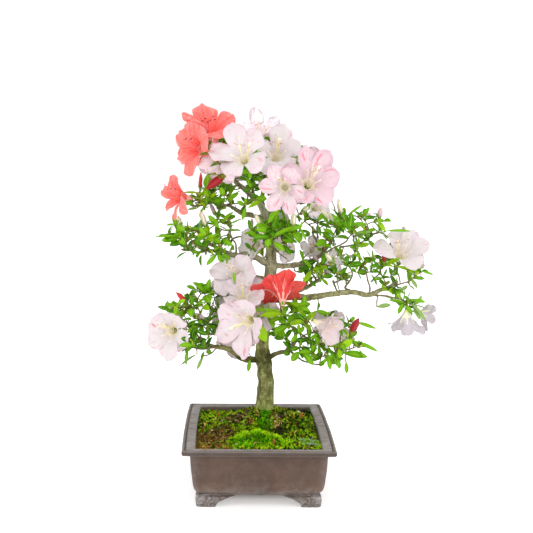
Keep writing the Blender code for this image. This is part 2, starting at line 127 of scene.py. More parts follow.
class Nodes:
    """Short hand for building a shader."""

    def __init__(self, name, rough=0.6, **sockets):
        self.mat = bpy.data.materials.new(name)
        self.mat.use_nodes = True
        self.tree = self.mat.node_tree
        self.bsdf = next(n for n in self.tree.nodes if n.type == "BSDF_PRINCIPLED")
        self.bsdf.inputs["Roughness"].default_value = rough
        for key, value in sockets.items():
            self.bsdf.inputs[key.replace("_", " ")].default_value = value
        self.coord = self.tree.nodes.new("ShaderNodeTexCoord").outputs["Object"]

    def link(self, a, b):
        self.tree.links.new(a, b)

    def put(self, socket, value):
        if isinstance(value, bpy.types.NodeSocket):
            self.link(value, socket)
        else:
            socket.default_value = value

    def noise(self, scale, detail=4.0, rough=0.55, stretch=None, distortion=0.0):
        n = self.tree.nodes.new("ShaderNodeTexNoise")
        n.inputs["Scale"].default_value = scale
        n.inputs["Detail"].default_value = detail
        n.inputs["Roughness"].default_value = rough
        n.inputs["Distortion"].default_value = distortion
        vec = self.coord
        if stretch is not None:
            m = self.tree.nodes.new("ShaderNodeMapping")
            m.inputs["Scale"].default_value = stretch
            self.link(self.coord, m.inputs["Vector"])
            vec = m.outputs["Vector"]
        self.link(vec, n.inputs["Vector"])
        return n.outputs["Fac"]

    def voronoi(self, scale, feature="F1", stretch=None):
        n = self.tree.nodes.new("ShaderNodeTexVoronoi")
        n.feature = feature
        n.inputs["Scale"].default_value = scale
        vec = self.coord
        if stretch is not None:
            m = self.tree.nodes.new("ShaderNodeMapping")
            m.inputs["Scale"].default_value = stretch
            self.link(self.coord, m.inputs["Vector"])
            vec = m.outputs["Vector"]
        self.link(vec, n.inputs["Vector"])
        return n.outputs["Distance"]

    def attribute(self, name):
        n = self.tree.nodes.new("ShaderNodeAttribute")
        n.attribute_name = name
        return n.outputs["Fac"]

    def ramp(self, fac, *stops):
        n = self.tree.nodes.new("ShaderNodeValToRGB")
        r = n.color_ramp
        while len(r.elements) < len(stops):
            r.elements.new(0.5)
        for e, (pos, col) in zip(r.elements, stops):
            e.position = pos
            e.color = col if len(col) == 4 else srgb(*col)
        self.link(fac, n.inputs["Fac"])
        return n.outputs["Color"]

    def range(self, value, a, b, c=0.0, d=1.0):
        n = self.tree.nodes.new("ShaderNodeMapRange")
        n.inputs["From Min"].default_value = a
        n.inputs["From Max"].default_value = b
        n.inputs["To Min"].default_value = c
        n.inputs["To Max"].default_value = d
        self.link(value, n.inputs["Value"])
        return n.outputs["Result"]

    def math(self, op, a, b=0.0):
        n = self.tree.nodes.new("ShaderNodeMath")
        n.operation = op
        self.put(n.inputs[0], a)
        self.put(n.inputs[1], b)
        return n.outputs[0]

    def mix(self, fac, a, b, blend="MIX"):
        n = self.tree.nodes.new("ShaderNodeMix")
        n.data_type = "RGBA"
        n.blend_type = blend
        self.put(n.inputs[0], fac)
        self.put(n.inputs[6], a if not isinstance(a, tuple) or len(a) == 4 else srgb(*a))
        self.put(n.inputs[7], b if not isinstance(b, tuple) or len(b) == 4 else srgb(*b))
        return n.outputs[2]

    def bump(self, height, strength, distance, normal=None):
        n = self.tree.nodes.new("ShaderNodeBump")
        n.inputs["Strength"].default_value = strength
        n.inputs["Distance"].default_value = distance
        self.link(height, n.inputs["Height"])
        if normal is not None:
            self.link(normal, n.inputs["Normal"])
        return n.outputs["Normal"]

    def done(self, colour, rough=None, normal=None):
        self.link(colour, self.bsdf.inputs["Base Color"])
        if rough is not None:
            self.link(rough, self.bsdf.inputs["Roughness"])
        if normal is not None:
            self.link(normal, self.bsdf.inputs["Normal"])
        return self.mat


# --------------------------------------------------------------- mesh builder
class Builder:
    """Collects vertices and faces of one kind and makes them one mesh."""

    def __init__(self):
        self.v, self.q, self.t, self.qs, self.ts, self.n = [], [], [], [], [], 0
        self.attrs = {}

    def add(self, verts, quads=None, tris=None, slot=0, tslot=None, **attrs):
        verts = np.asarray(verts, float).reshape(-1, 3)
        if quads is not None and len(quads):
            quads = np.asarray(quads, np.int64).reshape(-1, 4)
            self.q.append(quads + self.n)
            self.qs.append(np.broadcast_to(np.asarray(slot, np.int64), (len(quads),)))
        if tris is not None and len(tris):
            tris = np.asarray(tris, np.int64).reshape(-1, 3)
            self.t.append(tris + self.n)
            self.ts.append(np.broadcast_to(np.asarray(slot if tslot is None else tslot, np.int64), (len(tris),)))
        self.v.append(verts)
        for key, value in attrs.items():
            self.attrs.setdefault(key, []).append(
                (self.n, np.broadcast_to(np.asarray(value, float), (len(verts),))))
        self.n += len(verts)

    def grid(self, pts, slot=0, close=False, cap=False, **attrs):
        """Grids of points, shape (..., rows, columns, 3); `slot` may be one
        number per quad of shape (..., rows - 1, columns)."""
        pts = np.asarray(pts, float)
        if pts.ndim == 3:
            pts = pts[None]
        b, r, c, _ = pts.shape
        idx = np.arange(b * r * c).reshape(b, r, c)
        if close:
            nxt = np.roll(idx, -1, axis=2)
            quads = np.stack([idx[:, :-1], nxt[:, :-1], nxt[:, 1:], idx[:, 1:]], -1)
        else:
            quads = np.stack([idx[:, :-1, :-1], idx[:, :-1, 1:], idx[:, 1:, 1:], idx[:, 1:, :-1]], -1)
        tris = None
        verts = pts.reshape(-1, 3)
        if np.ndim(slot):
            slot = np.broadcast_to(np.asarray(slot).reshape(-1) if np.asarray(slot).size == quads[..., 0].size
                                   else np.repeat(np.asarray(slot).reshape(-1), quads.shape[1] * quads.shape[2]),
                                   (quads[..., 0].size,))
        tslot = None
        if cap and close:
            ends = []
            extra = []
            for k in range(b):
                for row, flip in ((0, True), (r - 1, False)):
                    extra.append(pts[k, row].mean(0))
                    m = b * r * c + len(extra) - 1
                    ring = idx[k, row]
                    other = np.roll(ring, -1)
                    tri = np.stack([ring, other, np.full(c, m)], -1)
                    ends.append(tri[:, ::-1] if flip else tri)
            verts = np.vstack([verts, np.array(extra)])
            tris = np.vstack(ends)
            if np.ndim(slot):
                tslot = int(slot[-1])
        self.add(verts, quads.reshape(-1, 4), tris, slot, tslot, **attrs)

    @property
    def faces(self):
        return sum(len(q) for q in self.q) * 2 + sum(len(t) for t in self.t)

    def make(self, name, mats, smooth_shade=True):
        v = np.vstack(self.v) + OFFSET
        q = np.vstack(self.q) if self.q else np.zeros((0, 4), np.int64)
        t = np.vstack(self.t) if self.t else np.zeros((0, 3), np.int64)
        mi = np.concatenate([*self.qs, *self.ts]) if (self.qs or self.ts) else np.zeros(0, np.int64)
        mesh = bpy.data.meshes.new(name)
        mesh.vertices.add(len(v))
        mesh.vertices.foreach_set("co", v.astype(np.float32).ravel())
        mesh.loops.add(4 * len(q) + 3 * len(t))
        mesh.loops.foreach_set("vertex_index", np.concatenate([q.ravel(), t.ravel()]).astype(np.int32))
        mesh.polygons.add(len(q) + len(t))
        start = np.concatenate([np.arange(len(q)) * 4, 4 * len(q) + np.arange(len(t)) * 3])
        mesh.polygons.foreach_set("loop_start", start.astype(np.int32))
        mesh.polygons.foreach_set("material_index", mi.astype(np.int32))
        mesh.polygons.foreach_set("use_smooth", np.full(len(q) + len(t), smooth_shade))
        for m in mats:
            mesh.materials.append(m)
        mesh.update(calc_edges=True)
        mesh.validate()
        for key, chunks in self.attrs.items():
            data = np.zeros(len(v), np.float32)
            for start_at, values in chunks:
                data[start_at:start_at + len(values)] = values
            attr = mesh.attributes.new(key, "FLOAT", "POINT")
            if len(mesh.vertices) == len(v):
                attr.data.foreach_set("value", data)
        ob = bpy.data.objects.new(name, mesh)
        bpy.context.scene.collection.objects.link(ob)
        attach(ob, "root")
        return ob


def frames(path):
    """Tangent and two side directions along a path, turning as little as it can."""
    path = np.asarray(path, float)
    tan = unit(np.gradient(path, axis=0))
    ref = np.array([0.0, 0.0, 1.0]) if abs(tan[0][2]) < 0.9 else np.array([1.0, 0.0, 0.0])
    side = np.zeros_like(tan)
    s = unit(np.cross(ref, tan[0]))
    for i, t in enumerate(tan):
        s = unit(s - t * np.dot(s, t))
        side[i] = s
    return tan, side, np.cross(tan, side)


def tube_points(path, radius, sides):
    """A grid of points round a path: (rows, sides, 3)."""
    tan, side, over = frames(path)
    a = np.linspace(0, 2 * np.pi, sides, endpoint=False)
    r = np.broadcast_to(np.asarray(radius, float).reshape(-1, 1, 1), (len(path), sides, 1))
    return (np.asarray(path)[:, None] + r * (np.cos(a)[None, :, None] * side[:, None]
                                            + np.sin(a)[None, :, None] * over[:, None]))


def curve_through(points, step):
    """A Catmull-Rom curve through rows of numbers, resampled about every
    `step` metres of its first three columns."""
    p = np.asarray(points, float)
    n = len(p)
    rows = []
    for i in range(n - 1):
        p0, p1, p2, p3 = p[max(0, i - 1)], p[i], p[i + 1], p[min(n - 1, i + 2)]
        m = max(2, int(math.ceil(np.linalg.norm(p2[:3] - p1[:3]) / step)))
        t = np.linspace(0, 1, m, endpoint=False)[:, None]
        rows.append(0.5 * (2 * p1 + (p2 - p0) * t + (2 * p0 - 5 * p1 + 4 * p2 - p3) * t * t
                           + (3 * p1 - p0 - 3 * p2 + p3) * t ** 3))
    rows.append(p[-1:])
    return np.vstack(rows)


# ------------------------------------------------------------------------ pot
def pot_ring(inset, z, corner, arc=10, along=46, across=32):
    hx, hy = POT_WIDTH / 2 - inset, POT_DEPTH / 2 - inset
    corner = min(corner, hx * 0.9)
    pts = []
    sides = ((1, -1, -90), (1, 1, 0), (-1, 1, 90), (-1, -1, 180))
    for i, (sx, sy, a0) in enumerate(sides):
        cx, cy = sx * (hx - corner), sy * (hy - corner)
        for k in range(arc + 1):
            a = math.radians(a0 + 90 * k / arc)
            pts.append((cx + corner * math.cos(a), cy + corner * math.sin(a)))
        nx, ny, _ = sides[(i + 1) % 4]
        ex, ey = nx * (hx - corner), ny * (hy - corner)
        m = along if a0 in (-90, 90) else across
        a1 = math.radians(a0 + 90)
        sx_, sy_ = cx + corner * math.cos(a1), cy + corner * math.sin(a1)
        ex_, ey_ = ex + corner * math.cos(a1), ey + corner * math.sin(a1)
        for k in range(1, m):
            t = k / m
            pts.append((sx_ + (ex_ - sx_) * t, sy_ + (ey_ - sy_) * t))
    p = np.array(pts)
    swell = SIDE_BOW * (1 - np.minimum(1.0, np.abs(p[:, 1]) / hy) ** 2)
    x = p[:, 0] + np.sign(p[:, 0]) * swell * np.minimum(1.0, np.abs(p[:, 0]) / (hx * 0.8))
    return np.stack([x, p[:, 1], np.full(len(p), z)], -1)


def pot_piece():
    b = Builder()
    L = BODY_LOW
    # inset, height, corner radius, wear of the edges, grey of the rim's top, painted shade (a painted shadow under the
    # rim and lip, darker grooves and lip face, darker down the inner wall and on the underside)
    rows = [
        (0.0900, L + 0.0004, 0.003, 0.0, 0.0, 0.6),
        (0.0600, L + 0.0004, 0.010, 0.0, 0.0, 0.6),
        (0.0240, L + 0.0004, 0.010, 0.0, 0.0, 0.5),
        (0.0222, L + 0.0002, 0.010, 0.2, 0.0, 0.2),
        (0.0212, L + 0.0006, 0.010, 0.8, 0.0, 0.0),
        (0.0209, L + 0.0016, 0.010, 0.9, 0.0, 0.0),
        (0.0211, L + 0.0021, 0.010, 0.3, 0.0, 0.5),
        (0.0206, L + 0.0025, 0.010, 0.1, 0.0, 0.8),
        (0.0196, L + 0.0029, 0.010, 0.2, 0.0, 0.3),
        (0.0183, L + 0.0036, 0.0095, 0.3, 0.0, 0.0),
        (0.0168, L + 0.0048, 0.009, 0.3, 0.0, 0.0),
        (0.0156, L + 0.0064, 0.0085, 0.2, 0.0, 0.0),
        (0.0147, L + 0.0084, 0.008, 0.1, 0.0, 0.0),
        (0.0140, L + 0.0110, 0.0075, 0.0, 0.0, 0.0),
        (0.0134, L + 0.0140, 0.007, 0.0, 0.0, 0.0),
        (0.0128, L + 0.0190, 0.0068, 0.0, 0.0, 0.0),
        (0.0121, L + 0.0250, 0.0066, 0.0, 0.0, 0.0),
        (0.0113, L + 0.0320, 0.0064, 0.0, 0.0, 0.04),
        (0.0106, L + 0.0390, 0.0062, 0.0, 0.0, 0.18),
        (0.0101, -0.0125, 0.006, 0.0, 0.0, 0.30),
        (0.0099, -0.0096, 0.006, 0.0, 0.0, 0.40),
        (0.0099, -0.0088, 0.006, 0.0, 0.0, 0.5),
        (0.0092, -0.0083, 0.006, 0.2, 0.0, 0.2),
        (0.0088, -0.0076, 0.006, 0.3, 0.0, 0.2),
        (0.0086, -0.0068, 0.006, 0.0, 0.0, 0.3),
        (0.0080, -0.0062, 0.005, 0.0, 0.0, 0.4),
        (0.0050, -0.0061, 0.004, 0.0, 0.0, 0.3),
        (0.0022, -0.0061, 0.003, 0.0, 0.0, 0.3),
        (0.0010, -0.0058, 0.003, 0.4, 0.0, 0.2),
        (0.0003, -0.0050, 0.003, 0.2, 0.3, 1.0),
        (0.0000, -0.0040, 0.003, 0.0, 0.3, 1.0),
        (0.0000, -0.0026, 0.003, 0.0, 0.3, 1.0),
        (0.0001, -0.0014, 0.003, 0.2, 0.3, 0.9),
        (0.0005, -0.0006, 0.003, 0.5, 0.3, 0.15),
        (0.0012, -0.0001, 0.003, 0.5, 0.6, 0.1),
        (0.0022, 0.0000, 0.003, 0.1, 0.6, 0.3),
        (0.0032, 0.0000, 0.003, 0.0, 0.5, 0.5),
        (0.0038, -0.0006, 0.003, 0.0, 0.2, 0.9),
        (0.0044, -0.0014, 0.003, 0.0, 0.1, 1.0),
        (0.0051, -0.0006, 0.003, 0.0, 0.4, 0.8),
        (0.0059, 0.0000, 0.003, 0.4, 0.9, 0.1),
        (0.0080, 0.0000, 0.003, 0.1, 1.0, 0.0),
        (0.0110, -0.0001, 0.003, 0.1, 1.0, 0.0),
        (0.0138, -0.0002, 0.003, 0.4, 1.0, 0.0),
        (0.0154, -0.0005, 0.003, 0.9, 1.0, 0.0),
        (0.0163, -0.0012, 0.003, 1.0, 0.8, 0.0),
        (0.0167, -0.0024, 0.003, 0.4, 0.3, 0.3),
        (0.0170, -0.0050, 0.0035, 0.0, 0.15, 0.05),
        (0.0173, -0.0090, 0.0038, 0.0, 0.05, 0.15),
        (0.0176, -0.0130, 0.004, 0.0, 0.0, 0.5),
    ]
    rings = np.stack([pot_ring(*r[:3]) for r in rows])
    n = rings.shape[1]
    # hand-made unevenness all over; the height wobbles only near the rim
    flat = rings.reshape(-1, 3)
    wob = fbm(flat, 22, 2, 3.0).reshape(rings.shape[:2]) * 0.00028
    wob += fbm(flat, 160, 2, 5.0).reshape(rings.shape[:2]) * 0.00010
    out = rings.copy()
    out[..., :2] *= 1.0
    centre = rings.copy()
    centre[..., 2] = 0
    out[..., :2] += unit(centre)[..., :2] * wob[..., None]
    out[..., 2] += wob * 0.7 * (rings[..., 2] > -0.006)
    r = np.array(rows)
    wear = np.repeat(r[:, 3][:, None], n, 1)
    grey = np.repeat(r[:, 4][:, None], n, 1)
    shade = np.repeat(r[:, 5][:, None], n, 1)
    # the far rim's top is mixed darker and browner than the near and side ones
    shade = np.clip(shade + 0.24 * (grey > 0.25) * smooth((rings[..., 1] - (POT_DEPTH / 2 - 0.030)) / 0.010), 0, 1)
    # the four arrises of the body are worn too
    corner = np.minimum(np.abs(rings[..., 0]) - (POT_WIDTH / 2 - 0.022), np.abs(rings[..., 1]) - (POT_DEPTH / 2 - 0.022))
    wear = np.clip(wear + 0.35 * smooth(corner / 0.008), 0, 1)
    b.grid(out, close=True, wear=wear.ravel(), grey=grey.ravel(), shade=shade.ravel())

    mat = clay_look("clay_unglazed")
    ob = b.make("clay_pot", [mat])
    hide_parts("pot_body")


def clay_look(name, foot=False):
    m = Nodes(name, 0.6, Specular_IOR_Level=0.35)
    big = m.noise(16, 5, 0.6)
    mid = m.noise(70, 5, 0.6, distortion=0.6)
    fine = m.noise(420, 4, 0.65)
    grain = m.noise(1500, 2, 0.6)
    streak = m.noise(60, 4, 0.6, stretch=(1.0, 1.0, 0.18))
    brush = m.noise(30, 5, 0.65, stretch=(0.22, 0.22, 1.0), distortion=0.3)
    base = m.ramp(big, (0.30, (76, 58, 46)), (0.50, (90, 70, 58)), (0.66, (99, 75, 62)), (0.8, (86, 68, 59)))
    base = m.mix(m.range(brush, 0.50, 0.70, 0.0, 0.55), base, (112, 88, 74))
    base = m.mix(m.range(brush, 0.30, 0.46, 0.45, 0.0), base, (70, 52, 42))
    rust = m.range(m.noise(34, 3, 0.5, distortion=0.8), 0.56, 0.72, 0.0, 0.5)
    base = m.mix(rust, base, (110, 74, 58))
    base = m.mix(m.range(mid, 0.45, 0.72, 0.0, 0.34), base, (118, 100, 90))
    base = m.mix(m.range(streak, 0.50, 0.72, 0.0, 0.30), base, (68, 54, 46))
    bloom = m.range(m.noise(44, 5, 0.7, stretch=(0.5, 0.5, 1.0), distortion=0.6), 0.60, 0.74, 0.0, 0.30)
    base = m.mix(bloom, base, (126, 120, 120))
    sep = m.tree.nodes.new("ShaderNodeSeparateXYZ")
    m.link(m.coord, sep.inputs[0])
    z = sep.outputs["Z"]
    # lime bloom low on the body
    low = m.range(z, 0.016, 0.034, 1.0, 0.0)
    lime = m.math("MULTIPLY", low, m.range(m.noise(120, 5, 0.7), 0.42, 0.66, 0.0, 0.55))
    base = m.mix(lime, base, (140, 132, 126))
    base = m.mix(m.math("MULTIPLY", m.attribute("grey"), 0.80), base, (158, 151, 147))
    rimmottle = m.math("MULTIPLY", m.attribute("grey"), m.range(m.noise(90, 4, 0.6), 0.46, 0.66, 0.0, 0.80))
    base = m.mix(rimmottle, base, (106, 90, 79))
    rimpale = m.math("MULTIPLY", m.attribute("grey"), m.range(m.noise(64, 5, 0.7, distortion=0.5), 0.51, 0.66, 0.0, 0.62))
    base = m.mix(rimpale, base, (174, 171, 172))
    # worn edges lighten; on the feet this also lays in the painted highlights, towards a bluish near-white
    wearf = m.math("MULTIPLY", m.attribute("wear"), m.range(m.noise(210, 5, 0.7), 0.34, 0.60, 0.05, 0.62 if foot else 0.62))
    base = m.mix(wearf, base, (206, 208, 210) if foot else (160, 156, 154))
    # painted shade: the shade attribute mixes in dark brown where the rows and the feet ask for it
    base = m.mix(m.math("MULTIPLY", m.attribute("shade"), 0.62 if foot else 0.70), base, (74, 60, 54) if foot else (52, 38, 32))
    if foot:
        base = m.mix(m.range(m.noise(300, 4, 0.65), 0.38, 0.52, 0.60, 0.0), base, (66, 54, 49))
        base = m.mix(m.range(m.noise(360, 4, 0.7), 0.54, 0.66, 0.0, 0.62), base, (198, 192, 189))
    base = m.mix(m.range(fine, 0.35, 0.7, 0.0, 0.22), base, (78, 62, 54))
    speck = m.range(m.noise(900, 2, 0.5), 0.66, 0.74, 0.0, 0.16)
    base = m.mix(speck, base, (168, 152, 140))
    h = m.math("ADD", m.math("MULTIPLY", fine, 0.6), m.math("MULTIPLY", grain, 0.4))
    nrm = m.bump(h, 0.35, 0.0006)
    nrm = m.bump(mid, 0.25, 0.0010, nrm)
    return m.done(base, m.range(m.noise(130, 4, 0.6), 0.3, 0.7, 0.48, 0.74), nrm)


def foot_piece(name, node, sx, sy, mat):
    """A cloud-shaped bracket foot: an L in plan whose two legs sweep up into
    the body in a hollow curve, a carved fan on each outer face."""
    b = Builder()
    rows, per = 46, 44
    grid = []
    wear = []
    shade = []
    for k in range(rows + 1):
        t = k / rows
        toe = math.exp(-((t - 0.10) / 0.12) ** 2)
        reach = 0.0226 + 0.0010 * toe + 0.0226 * t ** 1.6
        swell = 0.0010 * math.sin(math.pi * min(1.0, t * 1.05)) - 0.0010 * (1 - t) ** 8
        swell -= 0.0034 * smooth((t - 0.82) / 0.18) ** 1.5
        slab = 0.0007 * (1 - smooth((t - 0.12) / 0.05))
        o = swell + slab
        ox, oy = POT_WIDTH / 2 - FOOT_INSET + o, POT_DEPTH / 2 - FOOT_INSET + o
        ix, iy = ox - FOOT_THICK, oy - FOOT_THICK
        r = 0.0042
        plan, outer, run = [], [], []
        m = per
        for j in range(m + 1):                       # face that looks along y
            u = j / m
            plan.append((ox - reach + (reach - r) * u, oy)); outer.append((0, 1)); run.append(1 - u)
        for j in range(1, 9):                        # round the corner
            a = math.radians(90 - 90 * j / 9)
            plan.append((ox - r + r * math.cos(a), oy - r + r * math.sin(a)))
            outer.append((math.cos(a), math.sin(a))); run.append(0.0)
        for j in range(m + 1):                       # face that looks along x
            u = j / m
            plan.append((ox, oy - r - (reach - r) * u)); outer.append((1, 0)); run.append(u)
        plan += [(ox - 0.005, oy - reach - 0.0010), (ox - 0.011, oy - reach - 0.0008), (ix, oy - reach)]
        plan += [(ix, oy - reach * 0.75), (ix, iy), (ox - reach * 0.75, iy)]
        plan += [(ox - reach, iy), (ox - reach - 0.0008, oy - 0.011), (ox - reach - 0.0010, oy - 0.005)]
        outer += [(0, 0)] * 9
        run += [1.0] * 3 + [2.0] * 3 + [1.0] * 3
        ring, wr, sh = [], [], []
        for (x, y), (nx, ny), u in zip(plan, outer, run):
            s = u * (reach - r)
            # the top lips up round the corner of the body only
            lift = 0.0006 + 0.0016 * (1 - float(smooth((s - 0.002) / 0.006))) * (u < 1.5)
            z = (FOOT_HEIGHT + lift) * t
            d = fan = 0.0
            if (nx, ny) != (0, 0):
                # a fan of rounded ribs rising from an eye low on the face
                du, dz = s - 0.0098, z - 0.0024
                dist, ang = math.hypot(du, dz), math.atan2(dz, du)
                inside = float(smooth((dist - 0.0014) / 0.0012)) * (1 - float(smooth((dist - 0.0088) / 0.0022)))
                fan = inside * math.cos(ang * 9.0)
                d += 0.00028 * fan + 0.0007 * math.exp(-(dist / 0.0014) ** 2)
                # a scroll that follows the sweep of the leg
                tail = (z - 0.0105 + 0.10 * (s - 0.012)) / 0.0011
                d += 0.0005 * math.exp(-tail ** 2) * float(smooth((s - 0.012) / 0.006))
                d -= 0.0008 * math.exp(-((z - 0.0030) / 0.0006) ** 2)
                d += 0.0002
            ring.append((sx * (x + nx * d), sy * (y + ny * d), z - POT_HEIGHT))
            # painted highlight kept with the wear: a light band along the slab's top, the rounded corner and the fan's
            # ridges
            band = math.exp(-((z - 0.0022) / 0.0007) ** 2)
            edge = math.exp(-(s / 0.0042) ** 2) * (z > 0.0006) if (nx, ny) != (0, 0) else 0.0
            wr.append(min(1.0, max(0.0, 0.12 * fan + 0.14) * (z > 0.0034) + 0.55 * band + 0.60 * edge))
            # shade: a little darker all over, and painted shade at the ground line, in the fan's furrows, in the groove
            # over the slab, along the leg under the body and on the inner faces
            dark = 0.25 + math.exp(-((z - 0.0006) / 0.0007) ** 2) + 0.6 * max(0.0, -fan) + 0.5 * math.exp(-((z - 0.0031) / 0.0005) ** 2)
            dark += 0.5 * float(smooth((s - 0.020) / 0.014)) + (0.9 if (nx, ny) == (0, 0) else 0.0)
            sh.append(min(1.0, dark * (1 - 0.6 * edge)))
        grid.append(ring)
        wear.append(wr)
        shade.append(sh)
    pts = np.array(grid)
    pts += (fbm(pts.reshape(-1, 3), 240, 3, 2.0) * 0.00052).reshape(pts.shape[:2])[..., None] * np.array([1, 1, 0.2])
    flat = pts[0].copy()
    flat[:, 2] = -POT_HEIGHT
    pts[0] = flat
    b.grid(pts, close=True, cap=True)
    wr = np.append(np.array(wear).ravel(), [0.0, 0.0])
    b.attrs["wear"] = [(0, np.clip(wr, 0, 1))]
    b.attrs["grey"] = [(0, np.full(len(wr), 0.35))]
    b.attrs["shade"] = [(0, np.append(np.array(shade).ravel(), [0.9, 0.9]))]
    ob = b.make(name, [mat])
    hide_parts(node)


pot_piece()
clay_foot = clay_look("clay_foot", True)
for side_x, nx_ in ((-1, "left"), (1, "right")):
    for side_y, ny_ in ((-1, "front"), (1, "back")):
        foot_piece(f"cloud_foot_{ny_}_{nx_}", f"pot_foot_{ny_}_{nx_}", side_x, side_y, clay_foot)


# ----------------------------------------------------------------------- moss
# surface roots that leave the trunk and sink into the moss: bearing, length,
# thickness at the trunk
ROOTS = [(-74, 0.044, 0.0046), (-30, 0.026, 0.0036), (-112, 0.024, 0.0038), (-152, 0.050, 0.0042),
         (28, 0.030, 0.0036), (92, 0.028, 0.0040), (148, 0.030, 0.0038)]
INNER_X, INNER_Y = POT_WIDTH / 2 - RIM_BREADTH, POT_DEPTH / 2 - RIM_BREADTH


def root_path(k, n=14):
    bearing, length, thick = ROOTS[k]
    a = math.radians(bearing)
    pts = []
    for i in range(n):
        t = i / (n - 1)
        bend = 0.18 * math.sin(2.2 * t + k) * t
        d = 0.006 + length * t
        pts.append((TRUNK_X + d * math.cos(a + bend), TRUNK_Y + d * math.sin(a + bend)))
    return np.array(pts)


def soil_top(x, y):
    """Smooth top of the mossy bed, the same rule as the solid's."""
    x, y = np.asarray(x, float), np.asarray(y, float)
    d = np.hypot((x - TRUNK_X) * 0.95, y - TRUNK_Y)
    edge = SOIL_EDGE + SOIL_FRONT_LIFT * np.maximum(0.0, -y / (POT_DEPTH / 2)) ** 2
    back = smooth((y - TRUNK_Y + 0.004) / 0.018)
    u = np.maximum(0.0, d - (PAD_RADIUS - 0.0055 * back))
    fall = np.exp(-((u / (MOUND_SPREAD - 0.020 * back)) ** 2))
    wall = np.clip(np.minimum((INNER_X - np.abs(x)) / 0.012, (INNER_Y - np.abs(y)) / 0.012), 0, 1)
    fall = np.where(u > 0, fall * wall, 1.0)
    return edge + (MOUND_TOP - edge) * fall


def blob(x, y, cx, cy, rx, ry, power=2.0):
    return np.exp(-(((x - cx) / rx) ** 2 + ((y - cy) / ry) ** 2) ** (power / 2))


def crest_at(x):
    """Line of the grassy ridge before the trunk, and the ridge's height there."""
    u = (x + 0.0046) / 0.032
    line = -0.0610 - np.where(x < -0.0046, 0.018, 0.012) * np.abs(u) ** 1.3
    return line, np.exp(-np.abs(u / 1.10) ** 2.2)


